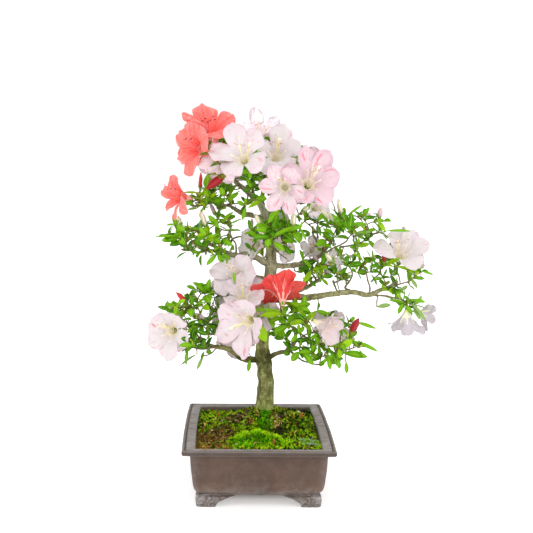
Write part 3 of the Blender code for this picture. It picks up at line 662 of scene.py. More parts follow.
def moss_pieces():
    nx, ny = 156, 232
    xs = np.linspace(-INNER_X - 0.0006, INNER_X + 0.0006, nx)
    ys = np.linspace(-INNER_Y - 0.0002, INNER_Y + 0.0002, ny)
    X, Y = np.meshgrid(xs, ys)
    # follow the swell of the long sides
    X = X * (1 + (SIDE_BOW / INNER_X) * (1 - (np.abs(Y) / INNER_Y) ** 2))
    Z = soil_top(X / (1 + SIDE_BOW / INNER_X), Y)
    P = np.stack([X, Y, np.zeros_like(X)], -1)
    lump = fbm(P, 95, 2, 1.0)
    lump2 = fbm(P, 230, 2, 4.0)
    tiny = fbm(P, 620, 1, 9.0)
    d = np.hypot(X - TRUNK_X, Y - TRUNK_Y)

    def zones(x, y):
        crest, tall = crest_at(x)
        crown = tall * np.exp(-((y - crest) / np.where(y > crest, 0.013, 0.0055)) ** 2)
        face = tall * smooth((crest - y) / 0.006) * (1 - smooth((crest - y - 0.020) / 0.008))
        bare = smooth((-x - 0.026 - 0.10 * np.maximum(0, -y - 0.09)) / 0.016) * smooth((-y + 0.004 + 0.45 * (x + 0.06)) / 0.030)
        hollow = np.maximum(np.maximum(blob(x, y, 0.029, -0.026, 0.0095, 0.0150, 3), 0.9 * blob(x, y, -0.027, 0.006, 0.012, 0.0085, 3)),
                            0.8 * blob(x, y, 0.0335, 0.012, 0.007, 0.012, 3))
        hollow = np.maximum(hollow, 0.75 * blob(x, y, 0.068, 0.090, 0.014, 0.030, 3))
        mound = blob(x, y, 0.0090, -0.012, 0.0100, 0.030, 3)
        second = blob(x, y, -0.014, -0.098, 0.012, 0.0095, 3)
        lichen = blob(x, y, 0.066, -0.072, 0.016, 0.024, 3)
        return crown, face, bare, hollow, mound, second, lichen

    crown, face, bare, hollow, mound, second, lichen = zones(X, Y)
    height = 0.0026 * lump + 0.0016 * lump2 * (1 + 0.4 * bare) + 0.0005 * tiny
    Z = Z + height * np.minimum(1, np.maximum(0.15, d / 0.02))
    # moss-covered roots
    cover = np.zeros_like(X)
    for k in range(len(ROOTS)):
        path = root_path(k)
        gap = np.hypot(X[..., None] - path[:, 0], Y[..., None] - path[:, 1])
        swell = np.exp(-(np.min(gap, -1) / 0.0050) ** 2) * (1 - 0.75 * np.argmin(gap, -1) / (len(path) - 1))
        cover = np.maximum(cover, swell)
    Z += 0.0026 * cover * smooth((d - 0.010) / 0.008)
    Z += 0.0034 * mound * smooth((d - 0.012) / 0.010)
    Z -= 0.0036 * hollow * smooth((d - 0.014) / 0.010)
    crest, tall = crest_at(X)
    Z += tall * 0.0095 * np.exp(-np.abs((Y - crest) / np.where(Y > crest, 0.017, 0.0135)) ** 2.6)
    Z += 0.0030 * second
    Z += 0.0040 * smooth((X - 0.012) / 0.03) * smooth((Y - 0.05) / 0.03)
    Z = np.minimum(Z, MOUND_TOP + 0.0024)
    Z -= 0.0036 * (1 - smooth((INNER_Y - Y) / 0.040))                # lower towards the back wall
    edge = np.minimum(INNER_X - np.abs(X) / (1 + SIDE_BOW / INNER_X), INNER_Y - np.abs(Y))
    Z = np.where(edge < 0.0035, np.minimum(Z, -0.0030 + 0.3 * np.maximum(edge, 0)), Z)
    P[..., 2] = Z

    b = Builder()
    b.grid(P, lump=np.clip(0.5 + 0.5 * lump + 0.25 * lump2, 0, 1).ravel(), litter=bare.ravel(),
           ridge=np.maximum(crown, 0.6 * second).ravel(), hollow=hollow.ravel())
    # skirt down the wall so that no gap shows
    rim = np.concatenate([P[0], P[1:, -1], P[-1, -2::-1], P[-2:0:-1, 0]])
    low = rim.copy()
    low[:, :2] *= 0.97
    low[:, 2] = -0.022
    floor_z = BODY_LOW + FLOOR_THICK + 0.0006
    lower = rim.copy()
    lower[:, :2] *= 0.90
    lower[:, 2] = floor_z
    b.grid(np.stack([rim, low, lower]), close=True)
    m = Nodes("moss_bed", 0.95, Specular_IOR_Level=0.12)
    n1 = m.noise(260, 6, 0.7)
    n2 = m.noise(60, 4, 0.6)
    n3 = m.noise(700, 4, 0.75)
    green = m.ramp(n1, (0.34, (18, 24, 3)), (0.46, (44, 60, 5)), (0.56, (80, 108, 9)), (0.70, (126, 152, 22)))
    soil = m.ramp(n3, (0.34, (20, 15, 6)), (0.46, (60, 47, 14)), (0.58, (124, 98, 28)), (0.70, (194, 156, 54)))
    bare_f = m.range(m.math("ADD", m.attribute("lump"), m.math("MULTIPLY", n2, 0.5)), 0.42, 0.62, 0.7, 0.0)
    colour = m.mix(bare_f, green, m.ramp(n3, (0.34, (16, 12, 6)), (0.52, (52, 40, 16)), (0.68, (104, 82, 34))))
    colour = m.mix(m.math("MULTIPLY", m.attribute("litter"), 0.95), colour, soil)
    # the grassy ridge's own green, painted brighter on the crest as painted light from above
    colour = m.mix(m.math("MULTIPLY", m.attribute("ridge"), 0.85), colour, (104, 158, 6))
    # painted shade: the sunk hollows are mixed near-black
    colour = m.mix(m.math("MULTIPLY", m.attribute("hollow"), 0.8), colour, (34, 27, 17))
    mat = m.done(colour, None, m.bump(n1, 0.6, 0.0015))
    bed = b.make("moss_bed", [mat])
    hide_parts("moss_soil")

    def top(x, y):
        fi = np.clip((np.asarray(y) + INNER_Y) / (2 * INNER_Y) * (ny - 1), 0, ny - 1.001)
        fj = np.clip((np.asarray(x) + INNER_X) / (2 * INNER_X) * (nx - 1), 0, nx - 1.001)
        i, j = fi.astype(int), fj.astype(int)
        v, u = fi - i, fj - j
        Q = P[..., 2]
        return (Q[i, j] * (1 - u) + Q[i, j + 1] * u) * (1 - v) + (Q[i + 1, j] * (1 - u) + Q[i + 1, j + 1] * u) * v

    # ---- tufts of moss: short blades in stars, the stars in small cushions
    tuft = Builder()
    shades = [(94, 158, 2), (144, 212, 4), (182, 240, 12), (218, 246, 50), (34, 54, 2), (182, 174, 46), (142, 100, 30),
              (182, 200, 160), (66, 142, 4), (108, 190, 2)]
    mats = [plain(f"moss_green_{i}", c, 0.85, Specular_IOR_Level=0.12) for i, c in enumerate(shades)]
    count = 6200
    cx = rng.uniform(-INNER_X + 0.0015, INNER_X - 0.0015, count)
    cy = rng.uniform(-INNER_Y + 0.0015, INNER_Y - 0.0015, count)
    crown, face, bare, hollow, mound, second, lichen = zones(cx, cy)
    dd = np.hypot(cx - TRUNK_X, cy - TRUNK_Y)
    where = np.stack([cx, cy, np.zeros(count)], -1)
    lu = fbm(where, 95, 2, 1.0)
    full = np.clip(np.maximum.reduce([crown, face, second, 0.9 * mound, 0.8 * lichen]), 0, 1)
    keep = (rng.random(count) < np.clip(0.56 + 0.75 * lu + 0.9 * full - 0.62 * bare * (1 - full) - 0.72 * hollow, 0.03, 1.0)) \
        & (dd > 0.0128)
    cx, cy, lu, crown, face, bare, hollow, mound, second, lichen = [
        q[keep] for q in (cx, cy, lu, crown, face, bare, hollow, mound, second, lichen)]
    n = len(cx)
    tone = rng.random(n)
    deep = smooth((cy - 0.02) / 0.06)
    slot = np.select(
        [crown > 0.42, face > 0.4, second > 0.4, lichen > 0.45, bare > 0.5, hollow > 0.3, mound > 0.4],
        # the crest of the ridge takes the brightest greens, partly the grassy moss's own colour and partly painted
        # light from above; its front face takes the middle greens
        [np.where(tone < 0.16, 1, np.where(tone < 0.66, 2, 3)),
         np.where(tone < 0.22, 8, np.where(tone < 0.66, 9, np.where(tone < 0.84, 1, np.where(tone < 0.88, 4, 2)))),
         np.where(tone < 0.35, 9, np.where(tone < 0.75, 1, 2)),
         np.where(tone < 0.46, 7, np.where(tone < 0.70, 0, np.where(tone < 0.9, 1, 2))),
         np.where(tone < 0.30, 5, np.where(tone < 0.55, 6, np.where(tone < 0.75, 4, np.where(tone < 0.9, 0, 1)))),
         # painted shade: in the hollows the tufts take the darkest green
         np.where(tone < 0.65, 4, 0),
         np.where(tone < 0.34, 8, np.where(tone < 0.52, 0, np.where(tone < 0.92, 9, 4)))],
        np.where(tone < 0.15, 0, np.where(tone < 0.36, 1, np.where(tone < 0.58, 2, np.where(tone < 0.66, 3,
                 np.where(tone < 0.80, 4, np.where(tone < 0.91, 5, 6)))))))
    patch = fbm(np.stack([cx, cy, np.zeros(n)], -1), 48, 2, 17.0)
    free = (full[keep] < 0.4) & (bare < 0.5) & (hollow < 0.3)
    slot = np.where((patch > 0.20) & (slot < 2) & free, slot + 1, slot)
    slot = np.where((patch < -0.18) & (slot < 4) & free, np.where(tone < 0.45, 4, np.where(tone < 0.8, 0, 1)), slot)
    # every cushion holds a few stars, highest in its middle
    per = 3
    big = rng.uniform(0.0007, 0.0018, (n, 1)) * (1 + 0.4 * full[keep][:, None])
    ring = rng.uniform(0, 2 * np.pi, (n, per))
    rho = np.sqrt(rng.random((n, per)))
    px = (cx[:, None] + big * rho * np.cos(ring)).ravel()
    py = (cy[:, None] + big * rho * np.sin(ring)).ravel()
    dome = (rng.uniform(0.4, 1.5, (n, 1)) * big * (1 - rho ** 2)).ravel()
    px = np.clip(px, -INNER_X + 0.001, INNER_X - 0.001)
    py = np.clip(py, -INNER_Y + 0.001, INNER_Y - 0.001)
    tall_ = np.repeat(np.maximum(crown, 0.7 * face), per)
    slot = np.repeat(slot, per)
    stray = rng.random(n * per)
    slot = np.where((stray < 0.20) & (slot < 4), np.clip(slot + rng.integers(-1, 2, n * per), 0, 3), slot)
    slot = np.where((stray > 0.80) & (slot < 7), rng.choice([4, 4, 0, 2, 3, 5, 6], n * per), slot)
    n = n * per
    blades = 6
    ang = rng.uniform(0, 2 * np.pi, (n, 1)) + np.arange(blades) * 2 * np.pi / blades + rng.normal(0, 0.25, (n, blades))
    lean = np.clip(rng.normal(0.80, 0.25, (n, blades)), 0.1, 1.3)
    lean[:, 0] = 0.1
    size = (0.0017 + 0.0010 * rng.random((n, 1)) + 0.0010 * tall_[:, None]) * rng.uniform(0.75, 1.15, (n, blades))
    base = np.stack([px, py, top(px, py) + dome - 0.0003], -1)[:, None] + rng.normal(0, 0.0003, (n, blades, 3)) * [1, 1, 0]
    out = np.stack([np.cos(ang), np.sin(ang), np.zeros_like(ang)], -1)
    side = np.stack([-np.sin(ang), np.cos(ang), np.zeros_like(ang)], -1)
    half = (0.00040 + 0.00012 * rng.random((n, blades)))[..., None]
    tip = base + (out * np.sin(lean)[..., None] + np.array([0, 0, 1.0]) * np.cos(lean)[..., None]) * size[..., None]
    verts = np.stack([base - side * half, base + side * half, tip + side * half * 0.35, tip - side * half * 0.35], 2)
    k = np.arange(n * blades) * 4
    tuft.add(verts.reshape(-1, 3), np.stack([k, k + 1, k + 2, k + 3], -1), np.zeros((0, 3), int),
             np.repeat(slot, blades))
    print("moss stars", n, "triangles", n * blades * 2)
    ob = tuft.make("moss_tufts", mats)

    # ---- litter: crumbs of bark and soil, dry leaves, a pebble
    bits = Builder()
    lmats = [plain("crumb_ochre", (168, 124, 48), 0.9), plain("crumb_brown", (92, 70, 24), 0.9),
             plain("crumb_dark", (22, 16, 10), 0.9), plain("crumb_pale", (200, 186, 114), 0.9),
             plain("dry_leaf_red", (182, 92, 22), 0.7), plain("dry_leaf_tan", (226, 178, 104), 0.75),
             plain("pebble", (228, 220, 196), 0.6), plain("crumb_orange", (194, 134, 28), 0.9)]

    def crumb(x, y, s, which, flat=1.0, tall=1.0):
        c = np.array([x, y, float(top(x, y)) + s * 0.35 * flat])
        rings = []
        spin = rng.uniform(0, 6.28)
        for tilt in (-0.9, 0.0, 0.9):
            a = np.linspace(0, 2 * np.pi, 5, endpoint=False) + spin
            r = s * math.cos(tilt) * rng.uniform(0.7, 1.15, 5)
            rings.append(c + np.stack([r * np.cos(a), r * np.sin(a) * 0.75, np.full(5, s * 0.6 * flat * tall * math.sin(tilt))], -1))
        bits.grid(np.array(rings), which, close=True, cap=True)

    for _ in range(1900):
        x = -0.020 - 0.053 * rng.random() ** 0.85
        y = 0.010 - 0.126 * rng.random() ** 0.9
        z = zones(np.array(x), np.array(y))
        if rng.random() < float(z[2]) * (1 - 0.8 * float(max(z[0], z[1], z[5]))):
            warm = float(smooth((-y - 0.070) / 0.03))
            which = rng.choice([0, 1, 2, 3, 7], p=[0.18, 0.15, 0.50 - 0.26 * warm, 0.05, 0.12 + 0.26 * warm])
            crumb(x, y, rng.uniform(0.0006, 0.0015), int(which))
    for _ in range(900):
        x, y = rng.uniform(-INNER_X + 0.003, INNER_X - 0.003), rng.uniform(-INNER_Y + 0.003, INNER_Y - 0.003)
        z = zones(np.array(x), np.array(y))
        if math.hypot(x - TRUNK_X, y - TRUNK_Y) > 0.016 and rng.random() > float(max(z[0], z[1], z[5], z[4])):
            back = y > 0.02
            which = rng.choice([0, 1, 2, 3, 7], p=[0.24, 0.24, 0.28, 0.10, 0.14] if back else [0.18, 0.24, 0.42, 0.06, 0.10])
            crumb(x, y, rng.uniform(0.0006, 0.0014 if back else 0.0011), int(which), 1.0, 1.5 if back else 1.0)
    crumb(0.060, 0.094, 0.0046, 6, 1.2)
    crumb(0.066, 0.086, 0.0030, 3)
    crumb(-0.060, -0.016, 0.0016, 6)
    crumb(-0.0270, -0.0900, 0.0030, 3, 0.8)
    crumb(-0.0300, -0.0860, 0.0020, 7, 0.8)
    crumb(-0.0500, 0.0720, 0.0026, 7)
    crumb(-0.0200, 0.0760, 0.0030, 3, 0.7)

    def stick(points, r0, r1, which, lift=0.0):
        """A bit of bare root or twig lying in the moss."""
        q = curve_through(np.array([(x, y, float(top(x, y)) + h + lift, r) for (x, y, h), r in
                                    zip(points, np.linspace(r0, r1, len(points)))]), 0.0012)
        g = tube_points(q[:, :3], q[:, 3], 8)
        g = g + unit(g - q[:, None, :3]) * (fbm(g, 420, 2, 3.0) * 0.0006)[..., None]
        bits.grid(g, which, close=True, cap=True)

    for x, y, sz, w in ((0.0235, -0.0120, 0.0026, 3), (0.0262, -0.0130, 0.0022, 0), (0.0250, -0.0165, 0.0026, 3), (0.0225, -0.0160, 0.0018, 7),
                        (0.0280, -0.0160, 0.0020, 5), (0.0215, -0.0195, 0.0018, 3), (0.0240, -0.0060, 0.0016, 3), (0.0285, -0.0080, 0.0018, 0),
                        (0.0255, -0.0090, 0.0018, 1), (0.0300, -0.0120, 0.0018, 3), (0.0205, -0.0130, 0.0016, 1)):
        crumb(x, y, sz, w, 1.0, 1.3)
    stick([(0.0300, -0.0120, 0.000), (0.0330, -0.0180, 0.0015), (0.0340, -0.0240, 0.0)], 0.0011, 0.0008, 1)
    stick([(0.0040, 0.0000, 0.0000), (-0.0010, 0.0030, 0.0010), (-0.0050, 0.0065, 0.000)], 0.0010, 0.0007, 5)
    stick([(-0.0060, 0.0230, 0.000), (-0.0110, 0.0180, 0.0014), (-0.0160, 0.0150, 0.0014), (-0.0200, 0.0130, 0.0)], 0.0019, 0.0014, 1)
    stick([(-0.0200, 0.0120, 0.000), (-0.0250, 0.0100, 0.0022), (-0.0310, 0.0090, 0.0020), (-0.0360, 0.0060, 0.0)], 0.0017, 0.0012, 1)
    for x, y, sz, w in ((-0.0190, 0.0105, 0.0016, 3), (-0.0225, 0.0090, 0.0018, 0), (-0.0370, 0.0160, 0.0018, 3), (-0.0410, 0.0130, 0.0014, 5),
                        (-0.0300, 0.0060, 0.0014, 1), (-0.0260, 0.0150, 0.0014, 3), (-0.0140, 0.0100, 0.0014, 5)):
        crumb(x, y, sz, w, 1.0, 1.3)
    # needles and bits of bark caught between the roots
    for cx_, cy_, sx, sy, many in ((-0.030, 0.012, 0.016, 0.008, 60), (0.026, -0.006, 0.009, 0.013, 44),
                                   (-0.010, -0.008, 0.008, 0.008, 22), (0.040, 0.012, 0.010, 0.010, 16)):
        for _ in range(many):
            x, y = cx_ + rng.normal(0, sx) * 0.7, cy_ + rng.normal(0, sy) * 0.7
            if math.hypot(x - TRUNK_X, y - TRUNK_Y) < 0.017:
                continue
            a, ln = rng.uniform(0, math.pi), rng.uniform(0.0030, 0.0080)
            rise_ = rng.uniform(-0.2, 0.5)
            c = np.array([x, y, float(top(x, y)) + 0.0014])
            d = np.array([math.cos(a), math.sin(a), rise_]) * ln * 0.5
            k = np.array([rng.normal(0, 0.12), rng.normal(0, 0.12), 0.1]) * ln
            r = rng.uniform(0.00022, 0.00050)
            bits.grid(tube_points(np.array([c - d, c + k, c + d]), np.array([r, r * 1.2, r * 0.5]), 4),
                      int(rng.choice([3, 0, 2, 5, 1], p=[0.26, 0.16, 0.30, 0.12, 0.16])), close=True, cap=True)
    stick([(-0.0130, -0.0060, 0.0), (-0.0160, -0.0090, 0.0012), (-0.0180, -0.0130, 0.0)], 0.0008, 0.0006, 1)
    stick([(-0.0060, -0.0080, 0.0), (-0.0090, -0.0110, 0.0012), (-0.0105, -0.0150, 0.0)], 0.0008, 0.0006, 4)
    stick([(0.0330, 0.0050, 0.000), (0.0370, 0.0010, 0.0014), (0.0400, -0.0030, 0.0)], 0.0010, 0.0007, 1)

    def dry_leaf(x, y, length, bearing, rise, which, wide=0.24):
        a = math.radians(bearing)
        d = np.array([math.cos(a) * math.cos(rise), math.sin(a) * math.cos(rise), math.sin(rise)])
        s = unit(np.cross(d, [0, 0.3, 1]))
        nrm = np.cross(s, d)
        rows = []
        for t in np.linspace(0, 1, 7):
            w = wide * length * math.sin(math.pi * min(0.98, 0.06 + 0.92 * t)) ** 0.8
            c = np.array([x, y, float(top(x, y)) + 0.0012]) + d * length * t + nrm * length * 0.18 * math.sin(3 * t)
            rows.append([c + s * w * u + nrm * abs(u) * w * 0.7 for u in (-1, -0.5, 0, 0.5, 1)])
        bits.grid(np.array(rows), which)

    for x, y, ln, be, ri, wh in ((0.0210, -0.0880, 0.0085, 84, 1.25, 4), (-0.0065, -0.1010, 0.0085, 20, 0.45, 5),
                                 (0.0500, 0.0020, 0.0080, 150, 0.5, 4), (0.0600, 0.0180, 0.0075, 100, 0.9, 4),
                                 (-0.0100, -0.0100, 0.0075, 130, 0.7, 4), (-0.0060, -0.0160, 0.0060, 60, 0.5, 4),
                                 (-0.0700, 0.0040, 0.0065, 110, 0.7, 5), (-0.0715, 0.0000, 0.0055, 60, 0.8, 4),
                                 (0.0030, 0.0020, 0.0100, 160, 0.15, 5), (0.0240, -0.0060, 0.0060, 30, 0.4, 5),
                                 (-0.0380, 0.0300, 0.0080, 20, 0.3, 5), (-0.0520, 0.0660, 0.0070, 80, 0.9, 4),
                                 (0.0480, -0.0380, 0.0065, 40, 0.4, 5), (0.0640, -0.1080, 0.0070, 160, 0.2, 5),
                                 (0.0360, 0.0500, 0.0070, 90, 0.7, 4), (-0.0560, 0.0300, 0.0060, 70, 0.6, 5)):
        dry_leaf(x, y, ln, be, ri, wh)
    ob = bits.make("soil_litter", lmats)
    return top


soil_at = moss_pieces()

# ---------------------------------------------------------------------- limbs
TRUNK = [
    (0.0114, 0.030, 0.0020, 0.0150), (0.0114, 0.030, 0.0125, 0.0140), (0.0114, 0.030, 0.0160, 0.0131),
    (0.0114, 0.030, 0.0225, 0.0124), (0.0118, 0.030, 0.0380, 0.0113),
    (0.0125, 0.030, 0.0518, 0.0109), (0.0096, 0.030, 0.0738, 0.0102), (0.0067, 0.030, 0.1013, 0.0090),
    (0.0117, 0.030, 0.1520, 0.0083), (0.0167, 0.030, 0.1928, 0.0078), (0.0178, 0.030, 0.2225, 0.0073),
    (0.0142, 0.030, 0.2535, 0.0062), (0.0099, 0.030, 0.2790, 0.0053), (0.0040, 0.029, 0.2930, 0.0044),
    (-0.0060, 0.026, 0.3040, 0.0036), (-0.0180, 0.021, 0.3150, 0.0031), (-0.0290, 0.018, 0.3240, 0.0026),
    (-0.0400, 0.014, 0.3400, 0.0022), (-0.0500, 0.010, 0.3560, 0.0014)]
BOUGHS = {
    "bough_low_left": ([(0.0085, 0.030, 0.0850), (-0.0177, 0.020, 0.0866), (-0.0309, 0.010, 0.0972),
                        (-0.0430, 0.000, 0.1047), (-0.0600, 0.000, 0.1075), (-0.0800, 0.000, 0.1150)],
                       0.0052, 0.0024),
    "bough_low_front": ([(0.0067, 0.030, 0.1060), (-0.0020, 0.012, 0.1160), (-0.0130, -0.012, 0.1270)],
                        0.0036, 0.0018),
    "bough_low_right": ([(0.0085, 0.030, 0.0850), (0.0296, 0.020, 0.0947), (0.0429, 0.010, 0.1014),
                         (0.0520, 0.002, 0.1150)], 0.0042, 0.0020),
    "bough_low_back": ([(0.0100, 0.030, 0.1250), (0.0110, 0.052, 0.1320), (0.0135, 0.080, 0.1380)],
                       0.0036, 0.0018),
    "bough_red_front": ([(0.0120, 0.030, 0.1540), (0.0160, 0.012, 0.1640), (0.0220, -0.012, 0.1780)],
                        0.0034, 0.0016),
    "bough_mid_front": ([(0.0160, 0.030, 0.1900), (0.0000, 0.014, 0.1990), (-0.0160, 0.000, 0.2080)],
                        0.0034, 0.0016),
    "bough_right_long": ([(0.0150, 0.030, 0.1700), (0.0522, 0.014, 0.1721), (0.0673, 0.008, 0.1722),
                          (0.0898, 0.004, 0.1767), (0.1231, 0.000, 0.1805), (0.1440, 0.000, 0.1770),
                          (0.1640, 0.002, 0.1830), (0.1850, 0.008, 0.1950)], 0.0052, 0.0024),
    "bough_right_upper": ([(0.0165, 0.030, 0.1780), (0.0420, 0.036, 0.1745), (0.0700, 0.042, 0.1830),
                           (0.0900, 0.045, 0.1960)], 0.0042, 0.0022),
    "bough_mid_left": ([(0.0178, 0.030, 0.2120), (0.0018, 0.022, 0.2216), (-0.0128, 0.016, 0.2286),
                        (-0.0290, 0.014, 0.2268), (-0.0500, 0.016, 0.2340), (-0.0700, 0.018, 0.2450)],
                       0.0050, 0.0024),
    "bough_mid_back": ([(0.0170, 0.030, 0.2280), (0.0160, 0.050, 0.2330), (0.0150, 0.080, 0.2380)],
                       0.0034, 0.0018),
    "bough_up_right": ([(0.0178, 0.030, 0.2110), (0.0475, 0.030, 0.2135), (0.0675, 0.030, 0.2175),
                        (0.0840, 0.030, 0.2260), (0.1000, 0.030, 0.2480)], 0.0046, 0.0022),
    "bough_centre": ([(0.0142, 0.030, 0.2480), (0.0170, 0.014, 0.2530), (0.0210, -0.006, 0.2570)],
                     0.0030, 0.0016),
    "bough_up_left": ([(0.0105, 0.030, 0.2740), (-0.0095, 0.024, 0.2800), (-0.0220, 0.020, 0.2830),
                       (-0.0420, 0.018, 0.2950)], 0.0034, 0.0018),
    "bough_up_back": ([(0.0060, 0.030, 0.2890), (0.0060, 0.050, 0.3050), (0.0070, 0.080, 0.3220)],
                      0.0030, 0.0016),
    "bough_top_right": ([(0.0100, 0.030, 0.2780), (0.0230, 0.026, 0.2920), (0.0380, 0.018, 0.3080)],
                        0.0032, 0.0016),
    "bough_top": ([(-0.0060, 0.026, 0.3040), (-0.0070, 0.024, 0.3220), (-0.0040, 0.020, 0.3500)],
                  0.0026, 0.0016),
}
# smaller limbs that show: pixel and depth of each bend, radius at both ends
LIMBS = [
    ([(229, 349, .002), (216, 347, -.004), (205, 349, -.008), (196, 348, -.010), (187, 343, -.012), (182, 335, -.012)], .0021, .0009),
    ([(217, 347, -.004), (212, 353, -.010), (206, 356, -.016)], .0012, .0007),
    ([(223, 347, -.002), (218, 338, .002), (213, 329, .006), (207, 320, .008)], .0014, .0008),
    ([(205, 349, -.008), (201, 340, -.012), (200, 329, -.014), (203, 318, -.016)], .0013, .0007),
    ([(203, 343, .010), (196, 334, .020), (189, 326, .028), (184, 315, .032)], .0013, .0007),
    ([(290, 351, .006), (300, 359, .000), (306, 362, -.004), (317, 365, -.010), (323, 365, -.014)], .0017, .0008),
    ([(319, 365, -.011), (322, 357, -.014), (326, 358, -.016)], .0010, .0006),
    ([(284, 352, .014), (292, 344, .006), (303, 336, -.002), (315, 331, -.008)], .0016, .0008),
    ([(303, 336, -.002), (316, 342, -.006), (330, 346, -.010), (344, 350, -.012), (356, 347, -.010)], .0015, .0007),
    ([(312, 333, -.006), (326, 328, .004), (340, 325, .012), (352, 324, .014)], .0013, .0007),
    ([(370, 295, .001), (385, 296, .000), (400, 299, -.004), (406, 302, -.006), (414, 305, -.008)], .0016, .0008),
    ([(372, 292, .003), (390, 289, .006), (400, 284, .006), (410, 281, .006), (416, 277, .006)], .0014, .0007),
    ([(371, 282, .006), (380, 274, .010), (385, 282, .010)], .0011, .0007),
    ([(395, 270, .010), (399, 276, .008), (400, 284, .006)], .0011, .0007),
    ([(333, 281, .040), (337, 290, .020), (338, 291, .006)], .0013, .0009),
    ([(350, 290, .005), (345, 288, .010), (350, 280, .016), (352, 272, .018), (347, 264, .016)], .0014, .0008),
    ([(369, 294, .001), (370, 288, .004), (368, 281, .008), (366, 272, .010), (362, 264, .010)], .0014, .0008),
    ([(306, 286, .038), (309, 278, .028), (314, 270, .018), (319, 264, .012)], .0014, .0008),
    ([(300, 265, .030), (304, 258, .022), (309, 253, .014)], .0012, .0007),
    ([(318, 258, .030), (327, 252, .024), (338, 246, .018), (347, 241, .014)], .0017, .0009),
    ([(340, 247, .018), (354, 245, .012), (362, 242, .012), (371, 235, .010), (381, 232, .008)], .0014, .0007),
    ([(371, 235, .010), (368, 226, .012), (364, 218, .012)], .0010, .0006),
    ([(330, 248, .022), (331, 240, .014), (334, 234, .010)], .0011, .0007),
    ([(318, 243, .030), (313, 235, .022), (312, 228, .016), (304, 221, .010)], .0015, .0008),
    ([(318, 238, .030), (317, 229, .024), (319, 219, .018)], .0013, .0008),
    ([(222, 252, .016), (208, 251, .016), (200, 252, .014), (193, 250, .012), (188, 246, .010), (184, 240, .008)], .0020, .0008),
    ([(214, 250, .016), (205, 249, .006), (198, 246, -.002), (192, 242, -.008)], .0012, .0007),
    ([(236, 254, .014), (236, 245, .008), (233, 239, .002), (229, 233, -.004), (231, 228, -.006), (228, 222, -.008)], .0014, .0007),
    ([(208, 251, .016), (207, 244, .010), (203, 237, .004), (200, 228, .002)], .0011, .0007),
    ([(253, 214, .026), (243, 212, .022), (235, 208, .018), (228, 206, .014), (213, 203, .010), (203, 205, .006), (193, 206, .002)], .0020, .0009),
    ([(213, 203, .010), (209, 197, .004), (209, 190, .000), (207, 183, -.002)], .0012, .0007),
    ([(232, 207, .016), (228, 199, .010), (224, 191, .006)], .0012, .0007),
    ([(257, 190, .026), (252, 180, .020), (246, 172, .014), (241, 165, .008)], .0016, .0010),
    ([(248, 193, .020), (246, 203, .014), (240, 202, .008)], .0011, .0007),
    ([(240, 187, .016), (234, 180, .006), (231, 174, -.006), (236, 167, -.018)], .0016, .0010),
    ([(231, 174, -.006), (224, 168, -.012), (216, 161, -.018), (210, 156, -.022)], .0013, .0010),
    ([(203, 205, .006), (198, 203, -.004), (195, 203, -.012)], .0012, .0009),
    ([(275, 249, .016), (280, 254, .012), (287, 259, .010)], .0012, .0007),
    ([(273, 240, .010), (279, 236, .000), (283, 232, -.008)], .0012, .0007),
    ([(271, 242, .012), (262, 238, .000), (256, 234, -.008)], .0012, .0007),
    ([(283, 241, .006), (287, 246, .000), (285, 252, -.004)], .0009, .0006),
    ([(290, 205, .018), (298, 200, .004), (304, 196, -.012), (309, 192, -.024)], .0016, .0010),
    ([(280, 212, .022), (284, 204, .004), (287, 196, -.020)], .0014, .0009),
    ([(262, 172, .022), (266, 162, .016), (272, 158, .010)], .0015, .0010),
    ([(262, 172, .022), (262, 158, .034), (262, 142, .042), (262, 132, .044)], .0015, .0010),
    ([(300, 204, .022), (318, 200, .040), (334, 196, .046)], .0013, .0008),
]


def tapered(points, root, tip):
    p = np.asarray(points, float)
    s = np.concatenate([[0], np.cumsum(np.linalg.norm(np.diff(p, axis=0), axis=1))])
    r = root + (tip - root) * (s / s[-1]) ** 0.85
    return np.column_stack([p, r])


limb_paths = [("trunk", curve_through(TRUNK, 0.0011), 60, 0)]
for name, (pts, r0, r1) in BOUGHS.items():
    limb_paths.append((name, curve_through(tapered(pts, r0, r1), 0.0015), 22, 1))
for k, (pix, r0, r1) in enumerate(LIMBS):
    pts = [at(*p) for p in pix]
    limb_paths.append((f"limb_{k}", curve_through(tapered(pts, r0, r1), 0.0018), 12, 2))


